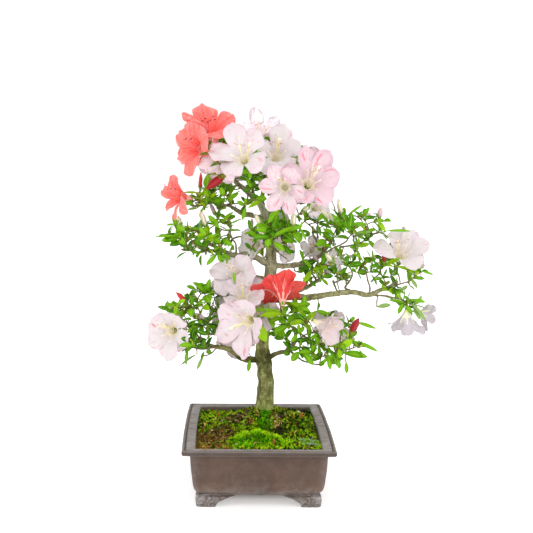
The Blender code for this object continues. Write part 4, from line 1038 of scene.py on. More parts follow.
def limb_mesh(b, path, sides, level, seed):
    centre, radius = path[:, :3].copy(), path[:, 3]
    # small kinks, none at the ends
    s = np.concatenate([[0], np.cumsum(np.linalg.norm(np.diff(centre, axis=0), axis=1))])
    fade = smooth(s / 0.01) * smooth((s[-1] - s) / 0.004)
    if level:
        w = np.stack([fbm(centre, 70, 2, seed + 1.1 * i) for i in range(3)], -1)
        centre += w * (fade * (0.0012 if level == 1 else 0.0009))[:, None]
    g = tube_points(centre, radius, sides)
    out = unit(g - centre[:, None])
    relief = np.minimum(1.0, radius / 0.006)[:, None]
    along = g * np.array([1, 1, 0.35 if level == 0 else 0.6])
    d = 0.0011 * fbm(g, 75, 2, seed) * relief + 0.00075 * fbm(along, 260, 2, seed + 3) * relief
    crack = 1 - np.abs(fbm(along, 430, 2, seed + 5))
    d -= 0.0007 * relief * np.clip(crack - 0.72, 0, 1) * 3
    d += 0.0003 * fbm(g, 900, 1, seed + 8) * relief
    ang = np.linspace(0, 2 * np.pi, sides, endpoint=False)[None]
    if level == 0:
        z = centre[:, 2][:, None]
        d += 0.0006 * np.sin(3 * ang + z * 40) + 0.0004 * np.sin(5 * ang - z * 70)
        # root flare: swellings towards the surface roots
        world = np.arctan2(out[..., 1], out[..., 0])
        flare = np.zeros_like(d)
        for bearing, length, thick in ROOTS:
            diff = np.angle(np.exp(1j * (world - math.radians(bearing))))
            flare += np.exp(-(diff / 0.34) ** 2) * thick
        d += flare * 0.60 * np.exp(-np.maximum(0, z - 0.010) / 0.0060)
        # knots by the lowest forks
        for kx, ky, kz, kr, kh in ((-0.004, 0.022, 0.0905, 0.006, 0.0030), (-0.005, 0.026, 0.0820, 0.005, 0.0026),
                                   (0.020, 0.024, 0.088, 0.006, 0.0016), (0.010, 0.020, 0.132, 0.006, 0.0014),
                                   (0.021, 0.024, 0.168, 0.007, 0.0018), (0.016, 0.022, 0.214, 0.006, 0.0014),
                                   (0.018, 0.022, 0.055, 0.008, 0.0012)):
            q = np.linalg.norm(g - np.array([kx, ky, kz]), axis=-1)
            d += kh * np.exp(-(q / kr) ** 2)
    else:
        d += 0.35 * radius[:, None] * 0.18 * np.sin(2 * ang + s[:, None] * 90)
        # nodes where twigs left
        step = 0.013 + 0.004 * math.sin(seed)
        ringy = np.exp(-((((s + seed * 0.01) % step) - step / 2) / 0.0016) ** 2)
        d += (ringy * 0.00035 * fade)[:, None] * relief ** 0.5
    g = g + out * d[..., None]
    b.grid(g, close=True, cap=True,
           **{"high": np.append(g[..., 2].ravel(), [g[0, 0, 2], g[-1, 0, 2]]),
              "thin": np.append(np.repeat(1 - np.minimum(1, radius / 0.006), sides), [0, 1.0]),
              "dent_shade": np.append(np.clip(0.5 + d / 0.003, 0, 1).ravel(), [0.5, 0.5])})
    return centre


bark = Builder()
centres = {}
for k, (name, path, sides, level) in enumerate(limb_paths):
    centres[name] = np.column_stack([limb_mesh(bark, path, sides, level, k * 1.7), path[:, 3]])
for k in range(len(ROOTS)):
    flat = root_path(k, 16)
    t = np.linspace(0, 1, 16)
    thick = ROOTS[k][2] * (1 - 0.72 * t)
    zz = soil_at(flat[:, 0], flat[:, 1])
    zz = np.minimum(np.maximum(zz - thick * (0.75 + 0.6 * t), -0.02), MOUND_TOP - 0.001) + 0.002 * np.exp(-t * 6)
    limb_mesh(bark, curve_through(np.column_stack([flat, zz, thick]), 0.0016), 14, 1, 60 + k)

m = Nodes("azalea_bark", 0.85, Specular_IOR_Level=0.25)
b1 = m.noise(230, 6, 0.72, stretch=(1, 1, 0.6))
b2 = m.noise(38, 4, 0.6)
b3 = m.noise(420, 4, 0.7, stretch=(1, 1, 0.5))
col = m.ramp(b1, (0.30, (84, 80, 32)), (0.42, (136, 134, 68)), (0.54, (174, 176, 108)), (0.70, (218, 220, 168)))
greyer = m.ramp(b1, (0.30, (104, 100, 76)), (0.42, (152, 149, 118)), (0.56, (192, 190, 156)), (0.72, (226, 224, 202)))
col = m.mix(m.range(m.attribute("high"), 0.10, 0.24, 0.05, 0.75), col, greyer)
brown = m.ramp(b3, (0.3, (92, 80, 62)), (0.5, (140, 128, 104)), (0.7, (184, 174, 150)))
col = m.mix(m.range(m.attribute("thin"), 0.25, 0.75, 0.0, 0.8), col, brown)
col = m.mix(m.range(b2, 0.52, 0.68, 0.0, 0.40), col, (118, 122, 50))
# painted shade: darker brown where the bark's relief sinks
col = m.mix(m.range(m.attribute("dent_shade"), 0.24, 0.46, 0.60, 0.0), col, (72, 62, 36))
col = m.mix(m.range(m.noise(170, 3, 0.5), 0.62, 0.72, 0.0, 0.5), col, (176, 182, 142))
sep = m.tree.nodes.new("ShaderNodeSeparateXYZ")
m.link(m.coord, sep.inputs[0])
stem = m.math("MULTIPLY", m.range(sep.outputs["Z"], 0.108, 0.122, 0.0, 1.0), m.range(sep.outputs["Z"], 0.150, 0.162, 1.0, 0.0))
stem = m.math("MULTIPLY", stem, m.range(b1, 0.36, 0.62, 0.62, 0.34))
col = m.mix(stem, col, (78, 78, 34))
collar = m.math("MULTIPLY", m.range(sep.outputs["Z"], 0.146, 0.156, 0.0, 1.0), m.range(sep.outputs["Z"], 0.166, 0.178, 1.0, 0.0))
collar = m.math("MULTIPLY", collar, m.range(m.noise(95, 4, 0.6), 0.36, 0.56, 0.50, 0.92))
col = m.mix(collar, col, (58, 60, 16))
# painted light: the thicker bark high on the trunk is painted paler, against the leaves' shade
painted_light_up = m.math("MULTIPLY", m.range(sep.outputs["Z"], 0.262, 0.282, 0.0, 1.0), m.range(m.attribute("thin"), 0.25, 0.60, 0.55, 0.0))
painted_light_up = m.math("MULTIPLY", painted_light_up, m.range(b1, 0.36, 0.60, 0.15, 1.35))
col = m.mix(painted_light_up, col, (212, 208, 178))
col = m.mix(m.range(m.attribute("thin"), 0.20, 0.70, 0.0, 0.38), col, (112, 94, 44))
mossy = m.math("MULTIPLY", m.range(m.attribute("high"), 0.010, 0.040, 1.0, 0.0), m.range(b2, 0.40, 0.58, 0.10, 0.7))
col = m.mix(mossy, col, (104, 132, 26))
bark_mat = m.done(col, m.range(b3, 0.3, 0.7, 0.7, 0.95), m.bump(b3, 0.6, 0.0012, m.bump(b1, 0.5, 0.0020)))
bark_ob = bark.make("bark", [bark_mat])
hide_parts("trunk", *BOUGHS)
print("bark triangles", bark.faces)

# ------------------------------------------------------------------- blossom
PALE = [("white", (220, 210, 211)), ("blush", (221, 204, 209)), ("rose", (220, 192, 200)), ("pink", (218, 182, 195)),
        # cream and throat: the throat's own cream and yellow-green, painted lighter than the lobes, as painted light
        # against the funnel's shade
        ("deep_pink", (224, 172, 190)), ("cream", (248, 240, 218)), ("throat", (240, 238, 176)),
        ("stripe", (236, 112, 128)), ("speck", (220, 140, 138)), ("filament", (238, 220, 218)),
        # shade: the petal white painted lighter, as painted light, for blooms deep in the crown
        ("anther", (200, 156, 136)), ("ochre", (216, 178, 126)), ("shade", (255, 243, 251)), ("peach", (240, 204, 186)),
        ("bud_green", (176, 186, 112)), ("bud_cream", (222, 208, 176)), ("bud_brown", (172, 144, 110)),
        # the last slot is the petal white painted greyer, as painted shade, for blooms hanging under the leaves
        ("painted_shade_grey", (206, 197, 204))]
CORAL = [("light", (252, 140, 134)), ("coral", (250, 120, 112)), ("warm", (246, 104, 94)), ("deep", (234, 86, 78)),
         ("red", (226, 70, 64)), ("scarlet", (212, 52, 46)), ("dark", (176, 32, 34)), ("vein", (250, 160, 152)),
         ("anther", (84, 30, 38)), ("filament", (250, 134, 132)), ("speck", (168, 34, 50)), ("tube", (246, 170, 156)),
         ("crimson", (150, 22, 34)), ("bud_green", (150, 150, 70))]
P = {n: i for i, (n, _) in enumerate(PALE)}
C = {n: i for i, (n, _) in enumerate(CORAL)}
pale_mats = [plain(f"petal_{n}", c, 0.55, Specular_IOR_Level=0.25, Sheen_Weight=0.15) for n, c in PALE]
coral_mats = [plain(f"petal_coral_{n}", c, 0.5, Specular_IOR_Level=0.3, Sheen_Weight=0.15) for n, c in CORAL]

pale, coral = Builder(), Builder()
leaf_rows = []          # base, direction, normal, length, width, curl, fold, slot
TUBE_ROWS, LOBE_ROWS, ACROSS = 6, 16, 15
REFERENCE = 0.036       # corolla radius the proportions below are given for


def corolla_profile(spread, curl, k=1.0, tilt=0.0, size=1.0):
    """Radius, height and slope along the middle of one lobe, from the foot of
    the tube (first rows) to the tip."""
    tube, r0, r1, lobe = 0.021 * size, 0.0024 * size, 0.0094 * size, 0.0325 * size * k
    st = np.linspace(0, 1, 60)
    rt = r0 + (r1 - r0) * st ** 1.7
    at0 = math.atan2(1.7 * (r1 - r0), tube)
    zt = np.concatenate([[0], np.cumsum(np.sqrt(np.maximum(0, (tube / 59) ** 2 - np.diff(rt) ** 2)))])
    tau = np.linspace(0, 1, 90)
    ang = at0 + (spread + tilt - at0) * smooth(tau / 0.62) + curl * tau ** 2
    dr, dz = np.sin(ang) * lobe / 89, np.cos(ang) * lobe / 89
    rl = rt[-1] + np.concatenate([[0], np.cumsum(dr[:-1])])
    zl = zt[-1] + np.concatenate([[0], np.cumsum(dz[:-1])])
    rows_t = np.array([0.0, 0.22, 0.45, 0.66, 0.84, 0.95])
    rows_l = np.linspace(0, 1, LOBE_ROWS) ** 0.92
    rho = np.concatenate([np.interp(rows_t, st, rt), np.interp(rows_l, tau, rl)])
    z = np.concatenate([np.interp(rows_t, st, zt), np.interp(rows_l, tau, zl)])
    slope = np.concatenate([np.interp(rows_t, st, np.full(60, at0) * st), np.interp(rows_l, tau, ang)])
    t = np.concatenate([rows_t - 1.0, rows_l])
    return rho, z, slope, t


def flower(spec):
    """One azalea bloom: a tube that opens into five overlapping lobes, each
    aimed at where its tip shows, with stamens, style and calyx."""
    r = np.random.default_rng(spec["seed"])
    kind = spec["kind"]
    size = spec.get("size", 0.036) / REFERENCE
    w = unit(spec["face"])
    ref = np.array([0, 0, 1.0]) if abs(w[2]) < 0.93 else np.array([0, 1.0, 0])
    up = unit(ref - w * np.dot(ref, w))
    roll = math.radians(spec.get("roll", 0.0))
    right = np.cross(up, w)
    up, right = up * math.cos(roll) + right * math.sin(roll), right * math.cos(roll) - up * math.sin(roll)
    spread = math.radians(85 * spec.get("open", 0.9))
    curl = math.radians(spec.get("curl", 16))
    throat = at(*spec["at"]) if "at" in spec else np.array(spec["point"], float)
    rho0, z0, _, _ = corolla_profile(spread, curl, 1.0, 0.0, size)
    base = throat - w * z0[TUBE_ROWS]

    # choose each lobe's bearing and length
    lobes = []
    tips = spec.get("tips")
    if tips:
        cand_a = np.radians(np.arange(0, 360, 4))
        cand_k = np.array([0.72, 0.8, 0.88, 0.96, 1.04, 1.12, 1.2, 1.3])
        cand_t = np.radians([-26, -12, 0, 12, 26])
        table = []
        for kk in cand_k:
            for tt in cand_t:
                rho, z, _, _ = corolla_profile(spread, curl, kk, tt, size)
                pts = base + w * z[-1] + rho[-1] * (np.cos(cand_a)[:, None] * right + np.sin(cand_a)[:, None] * up)
                table.append((kk, tt, shows_at(pts)))
        for tip in tips:
            if tip is None:
                continue
            best = None
            for kk, tt, pix in table:
                cost = np.hypot(pix[:, 0] - tip[0], pix[:, 1] - tip[1]) + 7 * abs(kk - 1) + 5 * abs(tt)
                for a_, _, _, _ in lobes:
                    gap = np.abs(np.angle(np.exp(1j * (cand_a - a_))))
                    cost = cost + 30 * np.clip(0.85 - gap, 0, 1)
                i = int(np.argmin(cost))
                if best is None or cost[i] < best[0]:
                    best = (cost[i], cand_a[i], kk, tt)
            lobes.append((best[1], best[2], best[3], best[0]))
            if best[0] > 9:
                print("tip off", spec.get("name"), tip, round(float(best[0]), 1))
        while len(lobes) < 5:
            angles = sorted(a % (2 * math.pi) for a, _, _, _ in lobes)
            gaps = [(angles[(i + 1) % len(angles)] - a) % (2 * math.pi) or 2 * math.pi for i, a in enumerate(angles)]
            i = int(np.argmax(gaps))
            lobes.append(((angles[i] + gaps[i] / 2) % (2 * math.pi), r.uniform(0.9, 1.05), 0.0, 0.0))
    else:
        start = r.uniform(-0.15, 0.15) + math.pi / 2
        for i in range(5):
            lobes.append((start + i * 2 * math.pi / 5 + r.normal(0, 0.07), r.uniform(0.92, 1.08),
                          r.normal(0, 0.10), 0.0))
    lobes = sorted((a % (2 * math.pi), k, t) for a, k, t, _ in lobes)
    bear = np.array([l[0] for l in lobes])
    nxt = np.append(bear[1:], bear[0] + 2 * math.pi)
    mids = (bear + nxt) / 2
    prev = np.append(mids[-1] - 2 * math.pi, mids[:-1])

    b = coral if kind in ("coral", "red") else pale
    u = np.linspace(-1, 1, ACROSS)
    blush = spec.get("blush", 0.12)
    wide = spec.get("wide", 1.0)
    ruffle = spec.get("ruffle", 1.0)
    dorsal = int(np.argmin(np.abs(np.angle(np.exp(1j * (bear - math.radians(spec.get("dorsal", 90))))))))
    for i, (a, k, t) in enumerate(lobes):
        rho, z, slope, tau = corolla_profile(spread, curl, k, t, size)
        e = math.cos(a) * right + math.sin(a) * up
        side = -math.sin(a) * right + math.cos(a) * up
        T, U = np.meshgrid(tau, u, indexing="ij")
        tp = np.clip(T, 0, 1)
        ws = rho[TUBE_ROWS] * 0.70
        # narrow sectors make narrow lobes
        sector = (mids[i] - prev[i]) / (2 * math.pi / 5)
        wm = 0.0148 * size * wide * r.uniform(0.94, 1.06) * min(1.10, max(0.78, sector ** 0.5))
        W = np.where(tp < 0.62, ws + (wm - ws) * np.sin(np.pi / 2 * np.clip(tp / 0.62, 0, 1)),
                     wm * np.sqrt(1 - 0.82 * np.clip((tp - 0.62) / 0.38, 0, 1) ** 2.2))
        lobe_len = 0.0325 * size * k
        tangent = np.sin(slope)[:, None, None] * e + np.cos(slope)[:, None, None] * w
        normal = -np.cos(slope)[:, None, None] * e + np.sin(slope)[:, None, None] * w
        phi = a + np.where(U < 0, -U * (prev[i] - a), U * (mids[i] - a))
        polar = (rho[:, None] * np.cos(phi))[..., None] * right + (rho[:, None] * np.sin(phi))[..., None] * up \
            + z[:, None, None] * w
        retreat = lobe_len * (0.075 * np.abs(U) ** 2.0 + 0.020 * np.exp(-(U / 0.25) ** 2) * r.uniform(-0.4, 1.2)) \
            * smooth((tp - 0.45) / 0.55)
        cup = r.uniform(-0.22, 0.10) if "cup" not in spec else spec["cup"]
        lift = cup * W * U ** 2 * smooth(tp / 0.4)
        lift += 0.0016 * size * U * smooth(tp / 0.5)                                 # lobes overlap like tiles
        ph = r.uniform(0, 2 * np.pi, 5)
        f = r.uniform(1.0, 1.7)
        for s_, p_ in ((1, ph[0]), (-1, ph[1])):
            lift += np.where(U * s_ > 0, ruffle * 0.0019 * size * np.abs(U) ** 2 * smooth(tp / 0.5)
                             * np.sin(2 * np.pi * f * tp + p_), 0)
        lift += ruffle * 0.0013 * size * smooth((tp - 0.55) / 0.45) * np.cos(np.pi * 1.6 * U + ph[2])
        lift -= 0.0010 * size * np.exp(-(U / 0.13) ** 2) * smooth((T + 0.6) / 0.6) * (1 - 0.55 * smooth((tp - 0.6) / 0.4))
        for uv in (-0.52, 0.52):
            lift -= 0.00042 * size * np.exp(-((U - uv * (0.6 + 0.4 * tp)) / 0.08) ** 2) * smooth(tp / 0.2) * (1 - tp)
        flatp = (rho[:, None, None] * e + z[:, None, None] * w + (W * U)[..., None] * side
                 - retreat[..., None] * tangent)
        bl = smooth(tp / 0.34)[..., None]
        pts = base + (1 - bl) * polar + bl * flatp + normal * lift[..., None]
        # the whole lobe droops a little
        pts[..., 2] -= 0.0016 * size * tp ** 2 * r.uniform(0.2, 1.0)

        # colours by place on the lobe
        uc = np.abs((U[:-1, :-1] + U[1:, 1:]) / 2)
        us = (U[:-1, :-1] + U[1:, 1:]) / 2
        tc = (T[:-1, :-1] + T[1:, 1:]) / 2
        grain = r.random(uc.shape)
        streaky = np.repeat(r.random((1, uc.shape[1])), uc.shape[0], 0)
        if b is pale:
            q = blush + 0.22 * uc ** 2 * np.clip(tc, 0, 1) + 0.10 * np.clip(tc, 0, 1) ** 2 + 0.10 * (streaky - 0.5) \
                + 0.05 * (grain - 0.5)
            slot = np.digitize(q, [0.17, 0.32, 0.50, 0.72])
            # painted light: blooms in the crown's shade take the lighter white, and on the upper lobe a cream throat
            if kind == "shade":
                slot = np.where(slot <= 0, P["shade"], slot)
            # painted shade: the hanging blooms take the greyer white
            if kind == "painted_shade_grey":
                slot = np.where(slot <= 1, P["painted_shade_grey"], slot)
            slot = np.where((tc < 0.22) & (uc < 0.22 - 0.5 * tc) & (tc > -0.2), P["cream"], slot)
            slot = np.where(tc < -0.12, np.where(tc < -0.6, P["throat"], P["cream"]), slot)
            if i == dorsal:
                slot = np.where((tc > -0.4) & (tc < 0.20) & (uc < 0.22 - 0.6 * tc), P["throat"] if kind != "shade" else P["cream"], slot)
                slot = np.where((tc > 0.0) & (tc < 0.40) & (uc < 0.36 - 0.6 * tc) & (slot != P["throat"]), P["cream"], slot)
        else:
            q = 0.55 - 0.35 * np.clip(tc, 0, 1) + 0.30 * (streaky - 0.5) + 0.12 * (grain - 0.5) - 0.18 * uc ** 2
            if kind == "coral":
                slot = np.digitize(q, [0.14, 0.34, 0.56])
                slot = np.where(np.abs(uc) < 0.07, C["deep"], slot)
                slot = np.where(tc < -0.35, C["tube"], slot)
            else:
                slot = np.digitize(q, [0.12, 0.34]) + C["deep"]
                slot = np.where((uc < 0.20) & (tc < 0.10), C["vein"], slot)
                slot = np.where((tc < -0.20) & (uc < 0.40), C["tube"], slot)
                slot = np.where(tc < -0.62, C["tube"], slot)
        b.grid(pts, slot)

        # fine streaks that follow the lobe
        def streak(u0, t0, t1, half, col):
            rows_ = np.linspace(t0, t1, 9)
            ui = (u0 + 1) / 2 * (ACROSS - 1)
            c0 = min(int(ui), ACROSS - 2)
            fu = ui - c0
            fr = np.interp(rows_, tau, np.arange(len(tau)))
            r0_ = np.minimum(fr.astype(int), len(tau) - 2)
            fv = (fr - r0_)[:, None]
            row = lambda c: pts[r0_, c] * (1 - fv) + pts[r0_ + 1, c] * fv
            mid_ = row(c0) * (1 - fu) + row(c0 + 1) * fu
            across_ = unit(row(min(c0 + 1, ACROSS - 1)) - row(c0))
            nn = unit(normal[r0_, 0] * 1.0)
            wid = half * np.sin(np.pi * np.linspace(0.12, 0.94, 9))[:, None] ** 0.6
            band = np.stack([mid_ - across_ * wid, mid_ + across_ * wid], 1)
            b.grid(band + nn[:, None] * 0.00022, col)
            b.grid((band - nn[:, None] * 0.00022)[:, ::-1], col)

        for li, u0, t0, t1, wd in spec.get("stripes", ()):
            if li == i and b is pale:
                streak(u0, t0, t1, 0.00042 * size, P["stripe"])
                streak(u0 + r.uniform(-0.16, 0.16), t0 + 0.1, t1 - 0.02, 0.00026 * size, P["stripe"])
        if b is pale and kind == "white" and spec.get("name"):
            for _ in range(int(r.integers(1, 4) + 8 * blush)):
                t0 = r.uniform(0.30, 0.86)
                streak(r.uniform(-0.85, 0.85), t0, min(0.97, t0 + r.uniform(0.04, 0.16)), r.uniform(0.00016, 0.00034) * size,
                       P["deep_pink"] if r.random() < 0.6 else P["stripe"])
        if kind == "red":
            streak(0.0, 0.0, r.uniform(0.48, 0.62), 0.00060 * size, C["vein"])
            for uv in (-0.24, 0.24):
                streak(uv, 0.0, r.uniform(0.20, 0.34), 0.00030 * size, C["vein"])
        if kind == "peach":
            for uv in (-0.55, -0.2, 0.15, 0.5):
                streak(uv + r.uniform(-0.1, 0.1), 0.05, r.uniform(0.5, 0.9), 0.00055 * size, P["peach"])

        # spots on the upper lobe
        if i == dorsal and spec.get("spots", True):
            m_ = 13 if kind != "shade" else 6
            for _ in range(m_):
                ti = int(r.integers(TUBE_ROWS + 2, TUBE_ROWS + 10))
                ui = int(np.clip(round(ACROSS / 2 + r.normal(0, 2.2)), 2, ACROSS - 3))
                c = pts[ti, ui] + normal[ti, 0] * 0.00022
                d1, d2 = unit(pts[ti + 1, ui] - pts[ti - 1, ui]), unit(pts[ti, ui + 1] - pts[ti, ui - 1])
                s1, s2 = r.uniform(0.0006, 0.0013) * size, r.uniform(0.00035, 0.0006) * size
                quad = np.array([c - d1 * s1, c + d2 * s2, c + d1 * s1, c - d2 * s2])
                col = (C["speck"] if b is coral else P["speck"])
                b.add(quad, [[0, 1, 2, 3]], slot=col)
                b.add(quad - normal[ti, 0] * 0.00044, [[3, 2, 1, 0]], slot=col)

    # stamens and style, bending up at their ends
    n_st = int(spec.get("stamens", r.integers(5, 8)))
    fil = C["filament"] if b is coral else P["filament"]
    length = (0.021 + 0.017 * (0.6 + 0.4 * spec.get("open", 0.9))) * size
    for j in range(n_st + 1):
        style = j == n_st
        x_ = 0.0 if style else (j - (n_st - 1) / 2) / max(1, n_st - 1) * 2
        ln = length * (1.28 if style else r.uniform(0.82, 1.08))
        tt = np.linspace(0.1, 1, 9)[:, None]
        rise = (0.0085 if not style else 0.012) * size * r.uniform(0.8, 1.2)
        path = base + w * (ln * tt) + right * (x_ * 0.0075 * size * tt ** 1.6) \
            + up * (-0.0022 * size * np.sin(np.pi * np.minimum(1, tt * 1.25)) + rise * tt ** 3.2)
        rad = np.linspace(0.00038, 0.00026, 9) * (1.15 if style else 1.0)
        col = (P["throat"] if b is pale else C["light"]) if style else fil
        b.grid(tube_points(path, rad, 4), col, close=True, cap=True)
        tipd = unit(path[-1] - path[-2])
        o1 = unit(np.cross(tipd, up + 0.1))
        a_len, a_rad = (0.0010, 0.0007) if style else (0.0013, 0.00062)
        ring = tube_points(np.array([path[-1] - o1 * a_len, path[-1] - o1 * a_len * 0.5, path[-1] + o1 * a_len * 0.5,
                                     path[-1] + o1 * a_len]) + tipd * 0.0005, [a_rad * 0.35, a_rad, a_rad, a_rad * 0.35], 5)
        dark = C["anther"] if b is coral else (P["anther"] if r.random() < 0.5 else P["ochre"])
        b.grid(ring, dark if not style else col, close=True, cap=True)
    # calyx
    for j in range(5):
        a = j * 2 * math.pi / 5 + 0.3
        e = math.cos(a) * right + math.sin(a) * up
        leaf_rows.append((base + e * 0.0016 * size, unit(w * 0.85 + e * 0.55), unit(e), 0.0062 * size, 0.0013, 0.2, 0.1, 1))
    return {"base": base, "axis": w, "tips": lobes}


# blooms of the shade kind are painted lighter, as painted light, for their place deep in the crown
BLOOMS = [
    # ---- coral, top left
    dict(name="A", kind="coral", at=(197, 148, -.032), face=(-.74, -.64, .12), size=.037, open=.93, curl=12, dorsal=100,
         tips=[(192, 119), (178, 131), (177, 157), (190, 175), (207, 134)]),
    dict(name="B", kind="coral", at=(209, 132, -.012), face=(.04, -.46, .88), size=.038, open=.60, curl=26, dorsal=90,
         tips=[(202, 103), (234, 115), (225, 138), (192, 118)], wide=1.12),
    dict(name="C", kind="coral", at=(181, 197, -.022), face=(-.82, -.50, .12), size=.033, open=.86, curl=24, dorsal=110,
         tips=[(172, 174), (162, 190), (165, 204), (176, 219), (189, 223)], wide=.70, ruffle=.6),
    # ---- pale group at the top
    dict(name="D", kind="white", at=(243, 158, -.050), face=(-.24, -.84, .48), size=.037, open=.90, blush=.10, dorsal=60,
         tips=[(230, 121), (260, 130), (264, 164), (225, 174), (209, 150)], stripes=[(4, .3, .5, .85, .05)]),
    dict(name="E", kind="white", at=(276, 156, -.012), face=(.02, -.78, .62), size=.037, open=.86, blush=.04, dorsal=80,
         tips=[(283, 122), (256, 142), (301, 142), (266, 174), (288, 172)]),
    dict(name="F", kind="shade", at=(259, 135, .030), face=(-.04, -.62, .78), size=.032, open=.62, blush=.06, dorsal=60,
         tips=[(255, 107), (270, 125), (248, 124)], stamens=7, wide=.8),
    dict(name="G", kind="white", at=(309, 183, -.052), face=(.12, -.93, .34), size=.039, open=.92, blush=.38, dorsal=70,
         tips=[(304, 143), (328, 147), (339, 173), (332, 201), (299, 201), (281, 168)], wide=.95,
         stripes=[(0, .62, .45, .9, .06), (5, -.62, .4, .8, .06), (1, .5, .4, .8, .05), (4, .4, .45, .85, .06),
                  (3, .2, .3, .6, .05), (2, .4, .5, .8, .05)]),
    dict(name="H", kind="white", at=(285, 187, -.060), face=(-.06, -.98, .04), size=.033, open=.90, blush=.26, dorsal=95,
         tips=[(270, 165), (293, 170), (259, 185), (268, 210), (285, 219), (296, 204)], wide=.86,
         stripes=[(2, .45, .35, .95, .07), (5, -.5, .3, .9, .10), (4, -.3, .5, .8, .05), (3, .35, .3, .8, .06),
                  (5, .4, .4, .8, .06)]),
    dict(name="D2", kind="shade", at=(224, 163, -.010), face=(-.45, -.85, -.10), size=.030, open=.80, blush=.05,
         tips=[(199, 166), (206, 174)], spots=False),
    # ---- behind the trunk
    dict(name="I", kind="shade", at=(257, 245, .010), face=(-.78, -.60, .16), size=.028, open=.84, blush=.04,
         tips=[(238, 247), (242, 233), (258, 231), (252, 257)], spots=False),
    dict(name="S1", kind="shade", at=(285, 251, .030), face=(.66, -.72, .10), size=.019, open=.78, blush=.04,
         tips=[(294, 246), (292, 259), (281, 263)], spots=False),
    dict(name="S2", kind="shade", at=(312, 250, .044), face=(.10, -.80, .55), size=.019, open=.78, blush=.06, spots=False),
    dict(name="S3", kind="shade", at=(331, 262, .034), face=(.30, -.85, .10), size=.017, open=.74, blush=.06, spots=False),
    dict(name="S4", kind="shade", at=(316, 208, .020), face=(.25, -.80, .40), size=.022, open=.75, blush=.02,
         tips=[(327, 205), (313, 202), (329, 214)], spots=False),
    # ---- pale group in the middle
    dict(name="J1", kind="white", at=(236, 278, -.014), face=(-.40, -.80, .40), size=.035, open=.88, blush=.08, dorsal=110,
         tips=[(211, 267), (226, 258), (248, 256), (215, 290), (256, 274)]),
    dict(name="J2", kind="white", at=(243, 297, -.036), face=(.02, -.66, .75), size=.033, open=.80, blush=.10, dorsal=80,
         tips=[(226, 281), (263, 280), (262, 300), (228, 303), (242, 272)], stripes=[(3, 0.0, .2, .8, .06)]),
    dict(name="K", kind="white", at=(247, 321, -.060), face=(-.52, -.85, -.05), size=.039, open=.92, blush=.16, dorsal=200,
         tips=[(219, 306), (216, 336), (243, 361), (258, 334), (244, 299)], wide=1.04,
         stripes=[(3, .2, .6, .9, .06)]),
    dict(name="L", kind="white", at=(258, 311, -.020), face=(.30, -.85, -.40), size=.033, open=.80, blush=.22,
         tips=[(270, 330), (256, 338), (276, 311)], spots=False),
    dict(name="M", kind="red", at=(282, 293, -.052), face=(-.02, .60, .80), size=.037, open=.84, curl=12, dorsal=270, ruffle=.6, cup=-.05,
         tips=[(250, 291), (266, 275), (287, 269), (306, 282), (261, 309), (295, 300)], spots=False, wide=1.0, stamens=5),
    # ---- left and right edges
    dict(name="N", kind="white", at=(171, 331, -.034), face=(-.30, -.95, .05), size=.037, open=.90, blush=.07, dorsal=160,
         tips=[(152, 321), (149, 343), (168, 361), (187, 345), (176, 314)], stripes=[(1, .2, .5, .85, .05)]),
    dict(name="O", kind="peach", at=(322, 325, -.046), face=(.80, -.42, -.36), size=.030, open=.42, blush=.15,
         tips=[(344, 327), (338, 341), (330, 318)], spots=False, curl=4),
    dict(name="Q", kind="white", at=(401, 254, .000), face=(.10, -.70, .70), size=.036, open=.88, blush=.04, dorsal=80,
         tips=[(373, 248), (393, 230), (413, 229), (430, 243), (418, 267)]),
    # painted shade: these two hang under the leaves and take the greyer white
    dict(name="R", kind="painted_shade_grey", at=(406, 318, -.008), face=(-.02, .26, -.96), size=.031, open=.60, blush=.02, curl=16,
         tips=[(393, 331), (408, 335), (419, 328)], spots=False, wide=.74, stamens=2),
    dict(name="R2", kind="painted_shade_grey", at=(422, 314, .004), face=(.80, .30, -.30), size=.023, open=.66, blush=.04, stamens=2, wide=.8,
         tips=[(436, 307), (435, 320), (424, 326)], spots=False),
]
# half-open and closed buds: foot and tip pixels, depth, half width in pixels, colours
BUDS = [
    ((225, 175), (206, 189), -.016, 3.9, "crimson"), ((187, 303), (176, 292), -.010, 2.2, "red"),
    ((350, 334), (359, 318), -.016, 3.2, "crimson"), ((384, 264), (384, 251), -.006, 2.0, "crimson"),
    ((342, 219), (338, 198), -.010, 2.3, "cream"), ((335, 222), (319, 208), -.004, 2.0, "cream"),
    ((337, 224), (327, 211), -.010, 1.6, "green"), ((334, 263), (325, 253), -.004, 2.4, "cream"),
    ((301, 212), (313, 204), .004, 2.4, "cream"), ((379, 219), (381, 207), .002, 2.4, "pink"),
    ((182, 235), (178, 215), -.012, 2.3, "cream"), ((207, 229), (200, 210), -.008, 2.3, "cream"),
    ((262, 229), (255, 213), -.024, 2.4, "cream"), ((266, 237), (257, 227), -.030, 2.2, "peach"),
    ((293, 228), (294, 212), -.020, 2.6, "cream"), ((263, 256), (253, 228), .050, 2.0, "cream"),
    ((200, 190), (201, 172), .004, 1.6, "red"), ((294, 167), (290, 155), -.010, 3.0, "coral"),
    ((186, 330), (184, 322), -.020, 1.6, "pink"), ((186, 345), (186, 336), -.018, 1.4, "pink"),
    ((206, 320), (197, 313), -.014, 1.6, "pink"), ((318, 262), (313, 254), .030, 2.0, "pink"),
    ((196, 300), (191, 290), .020, 1.6, "cream"), ((356, 250), (360, 240), .030, 1.8, "cream"),
    ((228, 262), (231, 248), .060, 2.0, "cream"), ((312, 346), (322, 338), .040, 2.0, "cream"),
]


